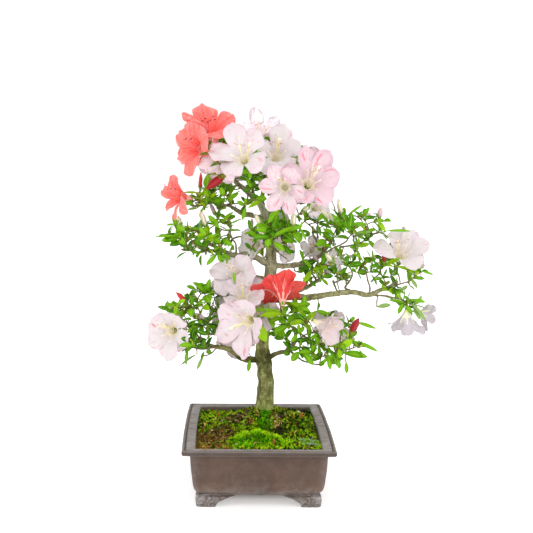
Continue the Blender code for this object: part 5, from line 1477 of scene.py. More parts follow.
def bud(foot, tip, half, kind):
    d = tip - foot
    ln = np.linalg.norm(d)
    d = d / ln
    s = unit(np.cross(d, [0.2, -1, 0.1]))
    o = np.cross(d, s)
    rows, sides = 13, 10
    t = np.linspace(0, 1, rows)
    prof = np.sin(np.pi * np.clip(0.10 + 0.90 * t ** 1.15, 0, 1)) ** 0.75 * (1 - 0.10 * t)
    prof[-1] = 0.04
    a = np.linspace(0, 2 * np.pi, sides, endpoint=False)
    g = []
    for ti, p_ in zip(t, prof):
        ridge = 1 + 0.13 * np.cos(5 * (a + 1.9 * ti))
        ring = foot + d * ln * ti + (half * p_ * ridge)[:, None] * (
            np.cos(a)[:, None] * s + np.sin(a)[:, None] * o)
        g.append(ring)
    g = np.array(g)
    strip = np.arange(sides) % 2
    tt = (t[:-1] + t[1:]) / 2
    if kind in ("crimson", "red", "coral"):
        main, other = {"crimson": ("crimson", "dark"), "red": ("red", "scarlet"), "coral": ("coral", "warm")}[kind]
        slot = np.where(strip[None, :] == 0, C[main], C[other]) + 0 * tt[:, None].astype(int)
        slot = np.where(tt[:, None] < 0.14, C["bud_green"], slot)
        coral.grid(g, slot.astype(int), close=True, cap=True)
    else:
        main, other = {"cream": ("bud_cream", "cream"), "green": ("bud_green", "cream"), "pink": ("pink", "rose"),
                       "peach": ("peach", "cream")}[kind]
        slot = np.where(strip[None, :] == 0, P[main], P[other]) + 0 * tt[:, None].astype(int)
        slot = np.where(tt[:, None] < 0.22, P["bud_green"], slot)
        if kind == "cream":
            slot = np.where((tt[:, None] > 0.8) & (strip[None, :] == 0), P["bud_brown"], slot)
        pale.grid(g, slot.astype(int), close=True, cap=True)
    for j in range(4):
        e = math.cos(j * 1.571 + 0.4) * s + math.sin(j * 1.571 + 0.4) * o
        leaf_rows.append((foot + e * half * 0.35, unit(d + e * 0.35), unit(e), ln * 0.32, half * 0.45, 0.1, 0.1, 1))


# ------------------------------------------------------- where the crown goes
PADS = {
    "pad_low_left": ((-0.092, 0.000, 0.142), (0.054, 0.080, 0.050)),
    "pad_low_front": ((-0.022, -0.034, 0.134), (0.036, 0.035, 0.041)),
    "pad_low_right": ((0.052, 0.000, 0.136), (0.038, 0.072, 0.030)),
    "pad_low_far": ((0.124, -0.003, 0.110), (0.040, 0.062, 0.040)),
    "pad_low_back": ((0.014, 0.102, 0.140), (0.062, 0.052, 0.036)),
    "pad_red_front": ((0.025, -0.038, 0.187), (0.037, 0.036, 0.027)),
    "pad_mid_front": ((-0.032, -0.018, 0.213), (0.034, 0.040, 0.044)),
    "pad_mid_left": ((-0.086, 0.024, 0.252), (0.053, 0.078, 0.036)),
    "pad_mid_right": ((0.100, 0.034, 0.207), (0.055, 0.076, 0.028)),
    "pad_far_right": ((0.191, 0.012, 0.208), (0.048, 0.056, 0.056)),
    "pad_far_low": ((0.209, -0.002, 0.138), (0.032, 0.032, 0.018)),
    "pad_mid_back": ((0.010, 0.104, 0.240), (0.070, 0.052, 0.038)),
    "pad_up_right": ((0.116, 0.030, 0.265), (0.059, 0.074, 0.036)),
    "pad_centre": ((0.024, -0.024, 0.256), (0.038, 0.036, 0.034)),
    "pad_up_left": ((-0.060, 0.018, 0.302), (0.067, 0.068, 0.036)),
    "pad_up_back": ((0.004, 0.104, 0.332), (0.064, 0.046, 0.044)),
    "pad_top_left": ((-0.071, 0.000, 0.384), (0.041, 0.050, 0.046)),
    "pad_top": ((-0.001, 0.014, 0.379), (0.046, 0.062, 0.043)),
    "pad_top_right": ((0.055, 0.006, 0.327), (0.053, 0.058, 0.052)),
}
# behind these, seen from the display side, blossom hides what grows
HIDDEN = [
    [(226, 126), (262, 134), (262, 166), (228, 170), (212, 158), (214, 146)],
    [(262, 130), (292, 134), (310, 148), (334, 152), (334, 196), (300, 198), (286, 214), (268, 206), (262, 184), (266, 160)],
    [(180, 128), (206, 112), (226, 116), (216, 142), (198, 156), (182, 158)],
    [(214, 268), (244, 258), (256, 274), (258, 300), (252, 330), (240, 352), (220, 336), (222, 306), (214, 290)],
    [(256, 290), (282, 276), (300, 286), (290, 300), (262, 304)],
    [(154, 322), (178, 320), (182, 350), (164, 354), (152, 342)],
    [(380, 246), (410, 234), (424, 246), (414, 262), (384, 260)],
]

def inside(poly, x, y):
    hit = np.zeros(np.shape(x), bool)
    n = len(poly)
    for i in range(n):
        (x1, y1), (x2, y2) = poly[i], poly[(i + 1) % n]
        cross = ((y1 > y) != (y2 > y)) & (x < (x2 - x1) * (y - y1) / (y2 - y1 + 1e-9) + x1)
        hit ^= cross
    return hit


# rosettes that show, each: pixel, depth, leaves, leaf length (mm), tone
SPRAYS = [
    # low left
    (206, 293, -.004, 8, 25, "b"), (197, 290, .004, 6, 20, "b"), (215, 297, -.002, 6, 18, "d"), (224, 292, .002, 5, 17, "m"),
    (188, 297, .006, 6, 20, "b"), (179, 305, -.004, 6, 20, "b"), (171, 311, .000, 5, 22, "b"), (203, 304, -.016, 5, 17, "l"),
    (193, 308, -.008, 7, 18, "b"), (210, 309, -.004, 7, 17, "m"), (219, 311, .004, 6, 16, "m"), (182, 317, -.006, 6, 20, "b"),
    (197, 319, -.018, 7, 18, "b"), (208, 323, -.012, 7, 18, "m"), (218, 325, -.002, 6, 17, "b"), (228, 328, .004, 5, 17, "m"),
    (186, 327, -.014, 6, 18, "m"), (197, 332, -.018, 6, 18, "b"), (211, 335, -.008, 6, 17, "d"), (223, 338, .004, 5, 16, "m"),
    (182, 337, -.010, 6, 18, "b"), (192, 343, -.016, 6, 17, "m"), (186, 349, -.012, 5, 17, "b"), (204, 349, -.018, 5, 16, "m"),
    # low right and centre
    (268, 315, -.028, 6, 20, "l"), (282, 315, -.030, 7, 19, "l"), (294, 306, -.024, 5, 22, "b"), (288, 324, -.022, 7, 18, "b"),
    (305, 322, -.012, 7, 19, "l"), (299, 312, -.010, 5, 18, "b"), (318, 311, -.004, 5, 18, "b"), (329, 317, .004, 5, 17, "m"),
    (298, 333, -.018, 7, 18, "b"), (309, 339, -.014, 6, 18, "d"), (320, 345, -.012, 7, 20, "b"), (300, 347, -.010, 6, 19, "b"),
    (290, 350, -.008, 6, 18, "m"), (312, 352, -.016, 6, 20, "b"), (326, 352, -.014, 6, 19, "m"), (335, 357, -.014, 7, 20, "b"),
    (349, 322, -.006, 7, 19, "m"), (338, 327, -.008, 6, 18, "b"), (349, 338, -.010, 7, 19, "b"), (340, 346, -.012, 6, 20, "b"),
    (358, 346, -.010, 6, 20, "b"), (275, 330, -.014, 6, 19, "m"), (262, 331, -.018, 5, 21, "l"), (268, 322, -.010, 6, 18, "d"),
    (284, 338, -.004, 6, 18, "b"), (312, 360, -.012, 4, 18, "b"), (327, 360, -.014, 5, 20, "b"),
    # right, middle
    (304, 264, .016, 7, 19, "b"), (312, 269, .006, 7, 19, "l"), (322, 265, -.002, 6, 18, "b"), (330, 266, -.006, 6, 18, "b"),
    (341, 256, .004, 6, 19, "b"), (347, 265, -.006, 6, 18, "m"), (353, 261, .000, 7, 19, "b"), (365, 262, -.004, 7, 19, "b"),
    (372, 258, .004, 6, 19, "b"), (380, 265, .006, 6, 20, "l"), (335, 273, .004, 6, 18, "m"), (345, 277, .002, 5, 18, "b"),
    (358, 272, .000, 6, 18, "b"), (322, 277, .010, 6, 17, "b"), (308, 279, .016, 5, 16, "m"), (296, 272, .022, 5, 16, "b"),
    (371, 272, .004, 6, 18, "m"), (385, 285, .000, 6, 17, "m"), (383, 276, .006, 6, 17, "b"), (391, 275, .006, 5, 17, "b"),
    (390, 290, -.002, 5, 16, "m"), (398, 288, .004, 5, 17, "b"), (404, 262, .010, 5, 18, "l"), (397, 265, .008, 5, 18, "l"),
    (410, 268, .010, 5, 19, "l"), (415, 277, .006, 6, 18, "b"), (421, 271, .008, 5, 18, "b"), (404, 302, -.006, 7, 22, "b"),
    (414, 305, -.010, 6, 20, "g"), (396, 298, .000, 5, 17, "m"), (410, 285, .004, 5, 16, "g"),
    # right, upper
    (304, 219, .004, 7, 19, "b"), (311, 213, .010, 5, 18, "g"), (318, 221, -.002, 6, 18, "b"), (328, 224, -.006, 6, 18, "b"),
    (338, 235, -.008, 7, 19, "b"), (347, 225, -.014, 7, 26, "m"), (352, 229, -.006, 6, 20, "b"), (340, 219, -.004, 6, 20, "b"),
    (363, 217, .004, 6, 18, "b"), (376, 221, .000, 7, 19, "l"), (384, 221, .004, 5, 18, "b"), (355, 236, -.004, 6, 18, "g"),
    (327, 238, .004, 6, 18, "m"), (333, 245, .008, 5, 17, "b"), (366, 231, .004, 5, 17, "b"), (379, 231, .004, 5, 18, "b"),
    (312, 232, .010, 6, 17, "m"), (357, 246, .008, 6, 18, "b"), (368, 238, .006, 5, 17, "m"), (322, 249, .016, 5, 17, "m"),
    # left, middle
    (180, 234, -.012, 7, 22, "b"), (177, 225, -.006, 5, 22, "l"), (190, 230, -.008, 6, 19, "b"), (201, 226, -.004, 6, 19, "t"),
    (216, 222, -.008, 6, 21, "b"), (228, 220, -.006, 6, 19, "b"), (209, 236, -.010, 7, 19, "b"), (220, 238, -.008, 7, 19, "m"),
    (231, 230, -.004, 5, 18, "b"), (184, 243, .000, 6, 19, "b"), (174, 240, .004, 5, 20, "l"), (193, 247, .000, 6, 18, "m"),
    (204, 246, -.006, 6, 18, "b"), (221, 247, -.006, 7, 18, "b"), (230, 244, .000, 5, 17, "m"), (216, 254, .006, 5, 20, "b"),
    (224, 255, .000, 5, 18, "b"), (186, 251, .004, 5, 17, "d"), (200, 253, .008, 5, 17, "m"), (197, 237, .004, 6, 18, "b"),
    (168, 236, .006, 4, 22, "l"),
    # left, upper
    (207, 190, -.006, 7, 20, "b"), (210, 198, -.010, 7, 18, "b"), (198, 197, .000, 6, 18, "b"), (192, 203, .002, 5, 18, "m"),
    (217, 190, -.004, 5, 18, "b"), (226, 190, -.008, 7, 19, "b"), (231, 196, -.010, 6, 19, "b"), (226, 201, -.004, 6, 19, "b"),
    (234, 204, .000, 6, 19, "m"), (246, 203, .012, 5, 16, "m"), (260, 196, -.008, 5, 17, "b"),
    (248, 180, -.006, 6, 18, "d"), (247, 173, -.008, 6, 18, "d"), (258, 175, -.004, 6, 18, "d"), (229, 180, -.002, 5, 18, "b"),
    (240, 171, -.010, 6, 17, "b"), (253, 187, .000, 6, 18, "d"), (218, 178, .000, 4, 20, "l"), (204, 204, .006, 5, 17, "m"),
    (219, 207, .004, 4, 17, "m"), (262, 184, .004, 5, 18, "b"),
    # centre
    (272, 229, -.030, 8, 22, "m"), (265, 228, -.026, 6, 22, "b"), (280, 230, -.026, 6, 22, "b"), (256, 236, -.018, 6, 20, "d"),
    (286, 238, -.018, 6, 19, "b"), (294, 236, -.012, 6, 19, "m"), (268, 242, -.028, 6, 18, "l"), (284, 244, -.016, 5, 17, "m"),
    (285, 222, -.014, 6, 20, "b"), (272, 219, -.018, 6, 22, "m"), (299, 230, -.006, 5, 18, "b"), (252, 250, .012, 4, 15, "m"),
    (288, 250, -.006, 5, 16, "m"), (252, 230, -.010, 5, 18, "b"),
    # by the blossom
    (294, 160, -.014, 4, 18, "b"), (309, 199, -.034, 6, 22, "b"), (255, 150, -.020, 4, 16, "b"), (218, 163, -.010, 4, 18, "d"),
]
# leaves that stand out: foot and tip pixels, depths, half width in pixels, tone
LEAVES = [
    ((206, 292), (210, 279), -.006, 2.6, "b"), ((204, 292), (197, 284), -.008, 2.6, "b"), ((212, 292), (229, 289), -.006, 2.4, "b"),
    ((178, 317), (151, 325), -.006, 1.6, "b"), ((185, 311), (160, 316), -.008, 2.0, "b"), ((180, 307), (165, 303), -.008, 2.4, "b"),
    ((197, 354), (179, 364), -.014, 1.6, "g"), ((203, 356), (197, 370), -.018, 1.7, "g"), ((250, 360), (248, 372), .010, 2.2, "b"),
    ((289, 302), (311, 310), -.030, 3.2, "b"), ((304, 305), (305, 296), -.028, 2.4, "b"), ((315, 311), (330, 313), -.006, 2.4, "b"),
    ((280, 310), (247, 309), -.048, 1.5, "b"), ((281, 314), (261, 314), -.046, 3.4, "l"), ((266, 342), (258, 325), -.034, 5.4, "l"),
    ((342, 353), (368, 355), -.016, 4.2, "b"), ((302, 350), (314, 365), -.014, 3.6, "b"), ((299, 352), (291, 361), -.012, 3.8, "b"),
    ((328, 356), (331, 370), -.018, 2.4, "b"), ((338, 360), (340, 369), -.018, 2.2, "b"), ((346, 362), (347, 374), -.016, 2.2, "b"),
    ((355, 322), (377, 327), -.010, 2.0, "b"), ((355, 341), (379, 350), -.012, 2.2, "b"), ((320, 366), (328, 357), -.016, 1.8, "b"),
    ((293, 307), (308, 302), -.030, 2.4, "b"),
    ((384, 265), (401, 257), -.004, 2.6, "l"), ((395, 266), (421, 271), -.002, 2.4, "l"), ((421, 271), (434, 274), .004, 1.5, "b"),
    ((414, 278), (425, 278), .002, 2.2, "b"), ((411, 279), (418, 288), .000, 2.4, "g"), ((410, 300), (426, 301), -.012, 2.4, "b"),
    ((411, 303), (428, 320), -.014, 2.6, "g"), ((403, 304), (398, 314), -.012, 2.6, "b"), ((406, 305), (413, 315), -.014, 2.4, "b"),
    ((377, 307), (391, 304), -.008, 2.6, "g"), ((404, 303), (389, 299), -.010, 2.2, "b"),
    ((348, 230), (343, 212), -.018, 3.6, "m"), ((350, 231), (352, 213), -.020, 3.4, "m"), ((346, 231), (334, 214), -.016, 3.0, "b"),
    ((347, 216), (362, 204), -.004, 1.5, "b"), ((363, 217), (369, 207), .000, 2.2, "b"), ((386, 231), (411, 229), .000, 1.8, "b"),
    ((352, 224), (367, 223), -.008, 2.4, "b"), ((355, 233), (371, 231), -.006, 2.2, "g"), ((378, 221), (386, 231), -.004, 2.2, "l"),
    ((321, 232), (334, 239), -.004, 2.2, "m"), ((320, 242), (333, 248), .000, 2.2, "b"), ((353, 241), (363, 247), .000, 2.2, "b"),
    ((181, 236), (173, 215), -.016, 3.0, "b"), ((200, 233), (200, 219), -.010, 2.0, "t"), ((219, 228), (209, 215), -.014, 3.4, "b"),
    ((222, 223), (232, 211), -.010, 2.8, "b"), ((219, 234), (204, 240), -.014, 2.4, "b"), ((180, 236), (154, 235), -.008, 1.3, "b"),
    ((182, 238), (166, 240), -.006, 1.3, "b"), ((217, 254), (206, 265), -.004, 2.4, "b"), ((219, 253), (220, 262), -.006, 2.2, "b"),
    ((222, 254), (231, 259), -.006, 2.2, "b"), ((226, 230), (238, 229), -.010, 1.5, "b"), ((190, 228), (199, 229), -.012, 2.0, "b"),
    ((207, 190), (208, 174), -.012, 3.6, "b"), ((209, 174), (223, 173), -.010, 1.7, "l"), ((200, 193), (183, 191), -.004, 1.4, "l"),
    ((223, 196), (221, 187), -.014, 3.0, "b"), ((229, 200), (238, 192), -.012, 2.8, "b"), ((224, 200), (212, 202), -.010, 2.4, "b"),
    ((248, 208), (262, 199), -.010, 2.6, "l"), ((256, 199), (267, 198), -.014, 3.6, "b"), ((246, 208), (242, 220), -.008, 2.2, "b"),
    ((241, 219), (231, 223), -.008, 1.0, "b"), ((198, 208), (187, 209), .002, 1.5, "g"), ((246, 176), (251, 187), -.012, 2.2, "b"),
    ((268, 223), (279, 208), -.030, 3.6, "b"), ((272, 232), (256, 228), -.034, 2.8, "b"), ((270, 237), (253, 236), -.034, 3.4, "m"),
    ((271, 238), (293, 225), -.036, 2.6, "b"), ((284, 232), (302, 225), -.030, 2.2, "b"), ((269, 239), (267, 247), -.038, 3.5, "b"),
    ((273, 242), (285, 250), -.032, 3.0, "b"), ((282, 240), (293, 242), -.030, 2.6, "b"), ((293, 232), (299, 241), -.018, 2.6, "b"),
    ((300, 228), (307, 241), -.010, 1.5, "b"), ((262, 251), (252, 255), -.006, 1.8, "l"), ((257, 236), (248, 231), -.020, 2.4, "b"),
    ((296, 163), (293, 155), -.014, 1.8, "b"), ((309, 201), (317, 201), -.044, 2.2, "b"), ((307, 200), (300, 202), -.044, 2.0, "b"),
    ((255, 155), (255, 146), -.024, 2.6, "b"), ((235, 283), (234, 272), -.034, 1.5, "b"),
]

tones = {"b": ([2, 1, 3, 0], [.50, .32, .13, .05]), "m": ([1, 2, 0, 3], [.50, .27, .18, .05]),
         "d": ([0, 1, 2], [.58, .34, .08]), "l": ([3, 2, 1], [.58, .32, .10]), "g": ([4, 1, 2], [.72, .18, .10]),
         "t": ([5, 1, 2], [.40, .35, .25])}
LEAF_COLOURS = [("deep", (48, 108, 3)), ("mid", (80, 143, 4)), ("bright", (114, 174, 8)), ("lime", (150, 196, 20)),
                ("grey", (140, 170, 98)), ("blue", (98, 152, 92)), ("rib", (168, 206, 62)), ("tint", (150, 62, 34)),
                ("bract", (164, 112, 54)), ("shoot", (186, 196, 84))]
leaf_mats = [plain(f"leaf_{n}", c, 0.5, Specular_IOR_Level=0.15) for n, c in LEAF_COLOURS]


def tone_slot(tone, r=rng):
    slots, weights = tones[tone]
    return int(r.choice(slots, p=weights))


attract = []       # points the twigs grow to: position, kind, index
sprays = []
for px, py, y, n_, mm, tone in SPRAYS:
    sprays.append(dict(pos=at(px, py, y), n=max(3, n_ - (3 if py < 275 and px < 345 else 1)), length=mm * 0.00104, tone=tone))

# The masses go on behind and beside what shows.  A rosette there stands in
# line with one that shows or with a bloom, so the sky stays in the gaps.
front = np.array([s["pos"] for s in sprays])
front_px = shows_at(front)
reach = np.array([0.35 * s["length"] * 760 + 1.0 for s in sprays])


def hidden(pix):
    ok = np.zeros(pix.shape[:-1], bool)
    for poly in HIDDEN:
        ok |= inside(poly, pix[..., 0], pix[..., 1])
    return ok


def in_line(points, extra=0.0):
    pix = shows_at(points)
    gap = np.linalg.norm(pix[..., None, :] - front_px, axis=-1) / (reach + extra)
    return (gap.min(-1) < 1) | hidden(pix)


fill = []
for name, (c, h) in PADS.items():
    c, h = np.array(c), np.array(h)
    volume = 4.19 * np.prod(h)
    want = {"pad_far_low": 0, "pad_top_left": 6}.get(name, int(volume / 3.7e-5) + 6)
    cand = c + unit(rng.normal(size=(6000, 3))) * h * (rng.random((6000, 1)) ** 0.36) * 0.93
    pix = shows_at(cand)
    gap = np.linalg.norm(pix[:, None] - front_px, axis=-1).min(1)
    ok = (gap < 2.6) | (hidden(pix) & (cand[:, 1] > 0.012))
    ok &= (cand[:, 1] > -0.012) | (np.abs(cand[:, 0]) > 0.06)
    got = 0
    for p in cand[ok]:
        others = np.vstack([front] + ([np.array(fill)] if fill else []))
        if np.min(np.linalg.norm(others - p, axis=1)) < 0.0128:
            continue
        fill.append(p)
        got += 1
        # painted shade: rosettes low in a pad take more of the deep green, fewer bright ones
        low_ = (p[2] - c[2]) / h[2] < -0.3
        tone = rng.choice(["b", "m", "l", "d"], p=[.34, .36, .04, .26] if low_ else [.48, .34, .10, .08])
        sprays.append(dict(pos=p, n=int(rng.integers(4, 7)), length=rng.uniform(0.015, 0.020), tone=str(tone), fill=True))
        if got >= want:
            break
print("sprays", len(sprays))

bloom_info = []
for k, spec in enumerate(BLOOMS):
    spec["seed"] = 100 + k
    bloom_info.append(flower(spec))
# blossom on the sides and back, in line with blossom or thick leaf in front
for k, (px, py, y, kind, blush) in enumerate([
        (238, 158, .066, "white", .12), (264, 154, .092, "white", .30), (302, 176, .072, "white", .16),
        (310, 170, .106, "white", .44), (283, 192, .092, "white", .14), (202, 138, .046, "coral", 0),
        (212, 148, .066, "coral", 0), (244, 156, .034, "white", .10),
        (236, 288, .062, "white", .14), (238, 322, .052, "white", .30), (244, 306, .100, "white", .16),
        (234, 304, .030, "white", .12), (256, 322, .104, "white", .40), (252, 304, .066, "white", .10),
        (274, 232, .110, "white", .20), (403, 252, .074, "white", .18),
        (240, 340, .080, "white", .22), (276, 176, .120, "white", .20),
        (328, 334, .072, "white", .14)]):
    p = at(px, py, y)
    spec = dict(kind=kind, point=p, blush=blush, size=float(rng.uniform(0.030, 0.036)), seed=300 + k,
                open=float(rng.uniform(0.74, 0.94)), roll=float(rng.uniform(-40, 40)))
    out_ = np.array([(p[0] - 0.012) * 0.8, p[1] + 0.012, 0.0])
    spec["face"] = unit(unit(out_) * 0.9 + np.array([0, 0, rng.uniform(0.15, 0.60)]) + rng.normal(0, 0.10, 3))
    bloom_info.append(flower(spec))
bud_info = []
for foot_px, tip_px, y, half, kind in BUDS:
    f_, t_ = at(*foot_px, y), at(*tip_px, y - 0.004)
    bud(f_, t_, half * 0.00158, kind)
    bud_info.append((f_, unit(t_ - f_)))
rear = [q for q in fill if q[1] > 0.040]
for k in range(26):
    s_ = rear[int(rng.integers(0, len(rear)))]
    p = np.array(s_) + rng.normal(0, 0.003, 3)
    d = unit(np.array([p[0] * 2, p[1] * 2 - 0.04, 0.10]) + rng.normal(0, 0.03, 3))
    bud(p, p + d * rng.uniform(0.016, 0.024), rng.uniform(0.0022, 0.0032), str(rng.choice(["cream", "cream", "pink", "green"])))
    bud_info.append((p, d))

# ----------------------------------------------------- twigs that reach it all
STEP = 0.0042
pos, parent, rad = [], [], []
for name, path in centres.items():
    s = np.concatenate([[0], np.cumsum(np.linalg.norm(np.diff(path[:, :3], axis=0), axis=1))])
    want = np.arange(0, s[-1], 0.005)
    pts = np.stack([np.interp(want, s, path[:, i]) for i in range(4)], -1)
    if name == "trunk":
        pts = pts[pts[:, 2] > 0.115]
    else:
        pts = pts[1:]
    for q in pts:
        pos.append(q[:3]); parent.append(-1); rad.append(q[3])
n_fixed = len(pos)
targets = [s["pos"] for s in sprays] + [b_["base"] - b_["axis"] * 0.010 for b_ in bloom_info] \
    + [f_ - d_ * 0.004 for f_, d_ in bud_info]
n_spray, n_bloom = len(sprays), len(bloom_info)
key_feet = []
for foot_px, tip_px, y, half, tone in LEAVES:
    f_ = at(*foot_px, y)
    near_ = np.linalg.norm(np.array(targets) - f_, axis=1)
    if near_.min() > 0.0075:
        targets.append(f_)
    key_feet.append(f_)
targets = np.array(targets)
posa = np.array(pos)
dist = np.linalg.norm(targets[:, None] - posa[None], axis=-1)
nearest, best = dist.argmin(1), dist.min(1)
alive_ = np.ones(len(targets), bool)
end_node = np.full(len(targets), -1)
pos = list(posa)
children = {}
for it in range(120):
    done_ = alive_ & (best < STEP * 1.35)
    for i in np.nonzero(done_)[0]:
        pos.append(targets[i]); parent.append(int(nearest[i])); rad.append(0.0)
        end_node[i] = len(pos) - 1
        alive_[i] = False
    if not alive_.any():
        break
    fresh = []
    groups = {}
    for i in np.nonzero(alive_)[0]:
        groups.setdefault(int(nearest[i]), []).append(i)
    for node, members in groups.items():
        p = pos[node]
        dirs = unit(targets[members] - p)
        d = dirs.mean(0)
        if np.linalg.norm(d) < 0.45 or node in children:
            d = dirs[int(np.argmin(best[members]))]
        if parent[node] >= 0:
            d = d + 0.35 * unit(p - pos[parent[node]])
        far = min(1.0, float(np.min(best[members])) / 0.02)
        d = unit(d) + rng.normal(0, 0.16, 3) * far + np.array([0, 0, 0.06])
        q = p + unit(d) * STEP
        if node in children and min(np.linalg.norm(q - c) for c in children[node]) < STEP * 0.35:
            q = p + unit(targets[members[0]] - p) * STEP
        children.setdefault(node, []).append(q)
        fresh.append((q, node))
    start_i = len(pos)
    for q, node in fresh:
        pos.append(q); parent.append(node); rad.append(0.0)
    new = np.array([q for q, _ in fresh])
    dn = np.linalg.norm(targets[:, None] - new[None], axis=-1)
    j, dj = dn.argmin(1), dn.min(1)
    better = dj < best
    nearest[better] = start_i + j[better]
    best[better] = dj[better]
pos = np.array(pos)
parent = np.array(parent)
N = len(pos)
print("twig nodes", N - n_fixed, "unreached", int(alive_.sum()))
# drop growth that reached nothing
use = np.zeros(N, bool)
use[:n_fixed] = True
for i in end_node:
    k = int(i)
    while k >= n_fixed and not use[k]:
        use[k] = True
        k = int(parent[k])
# thickness by the pipe rule
E = 2.5
load_ = np.zeros(N)
tips_r = np.full(N, 0.0)
for i, e in enumerate(end_node):
    if e >= 0:
        load_[e] += (0.00094 if n_spray <= i < n_spray + n_bloom else 0.00078) ** E
for k in range(N - 1, n_fixed - 1, -1):
    if use[k] and parent[k] >= 0:
        load_[parent[k]] += load_[k]
thick = np.maximum(load_, 1e-12) ** (1 / E)
kids = {}
for k in range(n_fixed, N):
    if use[k]:
        kids.setdefault(int(parent[k]), []).append(k)
main = {}
for p_, ks in kids.items():
    if p_ >= n_fixed:
        main[p_] = max(ks, key=lambda c: load_[c])
for _ in range(3):
    new = pos.copy()
    for k in range(n_fixed, N):
        if use[k] and k in main:
            new[k] = 0.5 * pos[k] + 0.25 * (pos[parent[k]] + pos[main[k]])
    pos = new
wobble = np.stack([fbm(pos, 150, 2, 31 + i) for i in range(3)], -1) * 0.0008
for k in range(n_fixed, N):
    if k in main:
        pos[k] += wobble[k]

twig = Builder()
twig_cols = [("brown", (106, 84, 44)), ("grey", (126, 112, 70)), ("olive", (122, 116, 46)), ("fresh", (130, 158, 54)),
             ("ruddy", (136, 80, 44))]
twig_mats = [plain(f"twig_{n}", c, 0.8, Specular_IOR_Level=0.25) for n, c in twig_cols]
chains = []
for p_, ks in list(kids.items()):
    for k in ks:
        if p_ >= n_fixed and main.get(p_) == k:
            continue
        chain = [p_, k]
        while chain[-1] in main:
            chain.append(main[chain[-1]])
        chains.append(chain)
for chain in chains:
    pts = pos[chain]
    rr = thick[chain].copy()
    rr[0] = rr[1] * 1.25
    if chain[0] < n_fixed:
        rr = np.minimum(rr, max(0.0008, rad[chain[0]] * 0.9))
    if len(pts) < 3:
        pts = np.vstack([pts[0], pts.mean(0), pts[1]])
        rr = np.array([rr[0], rr.mean(), rr[-1]])
    rr = rr * (1 + 0.16 * rng.normal(size=len(rr)).clip(-1, 1))
    slot = np.where(rr > 0.0017, rng.choice([0, 1]), np.where(rr > 0.0009, rng.choice([0, 0, 1, 2]), rng.choice([0, 2, 2, 4])))
    sides = 8 if rr.max() > 0.0016 else 6
    g = tube_points(pts, rr, sides)
    twig.grid(g, np.repeat(slot[:-1], sides), close=True, cap=True)


def stem(a, d0, b_, d1, r0, r1, slot):
    """A short stalk between two points, leaving along d0, arriving along d1."""
    t = np.linspace(0, 1, 8)[:, None]
    ln = np.linalg.norm(b_ - a)
    c1, c2 = a + d0 * ln * 0.35, b_ - d1 * ln * 0.40
    path = (1 - t) ** 3 * a + 3 * (1 - t) ** 2 * t * c1 + 3 * (1 - t) * t * t * c2 + t ** 3 * b_
    twig.grid(tube_points(path, np.linspace(r0, r1, 8), 6), slot, close=True, cap=True)


def twig_dir(i):
    e = int(end_node[i])
    return unit(pos[e] - pos[parent[e]]) if e >= 0 else np.array([0, 0, 1.0])


def add_leaf(base, d, nrm, length, width, curl, fold, slot, free=False):
    """Leaves that go on from the measured ones keep out of the gaps."""
    if free:
        ends = np.array([base + d * length * 0.55, base + d * length])
        if not in_line(ends).all():
            return
    leaf_rows.append((base, d, nrm, length, width, curl, fold, slot))


def rosette(p, axis, n_, length, tone, r=rng, spread=None, free=False):
    """A whorl of leaves round a twig's end."""
    axis = unit(axis)
    outward = unit(np.array([p[0] - 0.012, p[1] - 0.030, 0.0]))
    s = unit(np.cross(axis, [0.3, 0.9, 0.1]))
    o = np.cross(axis, s)
    a0 = r.uniform(0, 6.28)
    for j in range(n_):
        a = a0 + j * 2.399 + r.normal(0, 0.18)
        inner = j / max(1, n_ - 1)
        ang = math.radians((78 - 44 * inner) + r.normal(0, 8)) if spread is None else spread
        e = math.cos(a) * s + math.sin(a) * o
        d = unit(axis * math.cos(ang) + e * math.sin(ang))
        nrm = unit(axis * math.sin(ang) - e * math.cos(ang) + 0.55 * outward + r.normal(0, 0.22, 3))
        ln = length * (1.0 - 0.30 * inner) * r.uniform(0.66, 1.26)
        add_leaf(p - axis * 0.0018 * (1 - inner) * 2 + e * 0.0004, d, nrm, ln, ln * r.uniform(0.175, 0.235),
                 r.uniform(0.15, 0.75), r.uniform(0.15, 0.5), tone_slot(tone, r), free)
    # resting bud or its brown scales in the middle of the whorl
    if r.random() < 0.6:
        for j in range(int(r.integers(1, 4))):
            d = unit(axis + r.normal(0, 0.35, 3))
            add_leaf(p, d, unit(np.cross(d, s)), r.uniform(0.004, 0.008), r.uniform(0.0008, 0.0014), 0.1, 0.3,
                     int(r.choice([8, 8, 9, 9, 7], p=[.2, .2, .25, .25, .1])), free)


centre_line = np.array([0.012, 0.030])
for i, s in enumerate(sprays):
    e = int(end_node[i])
    p = pos[e] if e >= 0 else s["pos"]
    out_ = np.array([*(p[:2] - centre_line), 0.0])
    axis = 0.55 * twig_dir(i) + 0.45 * unit(out_) + np.array([0, 0, 0.65]) + rng.normal(0, 0.18, 3)
    rosette(p, axis, s["n"], s["length"], s["tone"], free="fill" in s)
for i in range(n_bloom):
    info = bloom_info[i]
    e = int(end_node[n_spray + i])
    p = pos[e] if e >= 0 else info["base"] - info["axis"] * 0.010
    stem(p, twig_dir(n_spray + i), info["base"] + info["axis"] * 0.001, info["axis"], 0.00095, 0.0011, 3)
    rosette(p - info["axis"] * 0.002, twig_dir(n_spray + i) + 0.4 * info["axis"], 5, 0.017, "b", free=True)
for i, (f_, d_) in enumerate(bud_info):
    e = int(end_node[n_spray + n_bloom + i])
    p = pos[e] if e >= 0 else f_ - d_ * 0.004
    stem(p, twig_dir(n_spray + n_bloom + i), f_ + d_ * 0.0006, d_, 0.0008, 0.0009, 3)
    rosette(p, twig_dir(n_spray + n_bloom + i) + d_, 5, 0.017, "b", free=True)
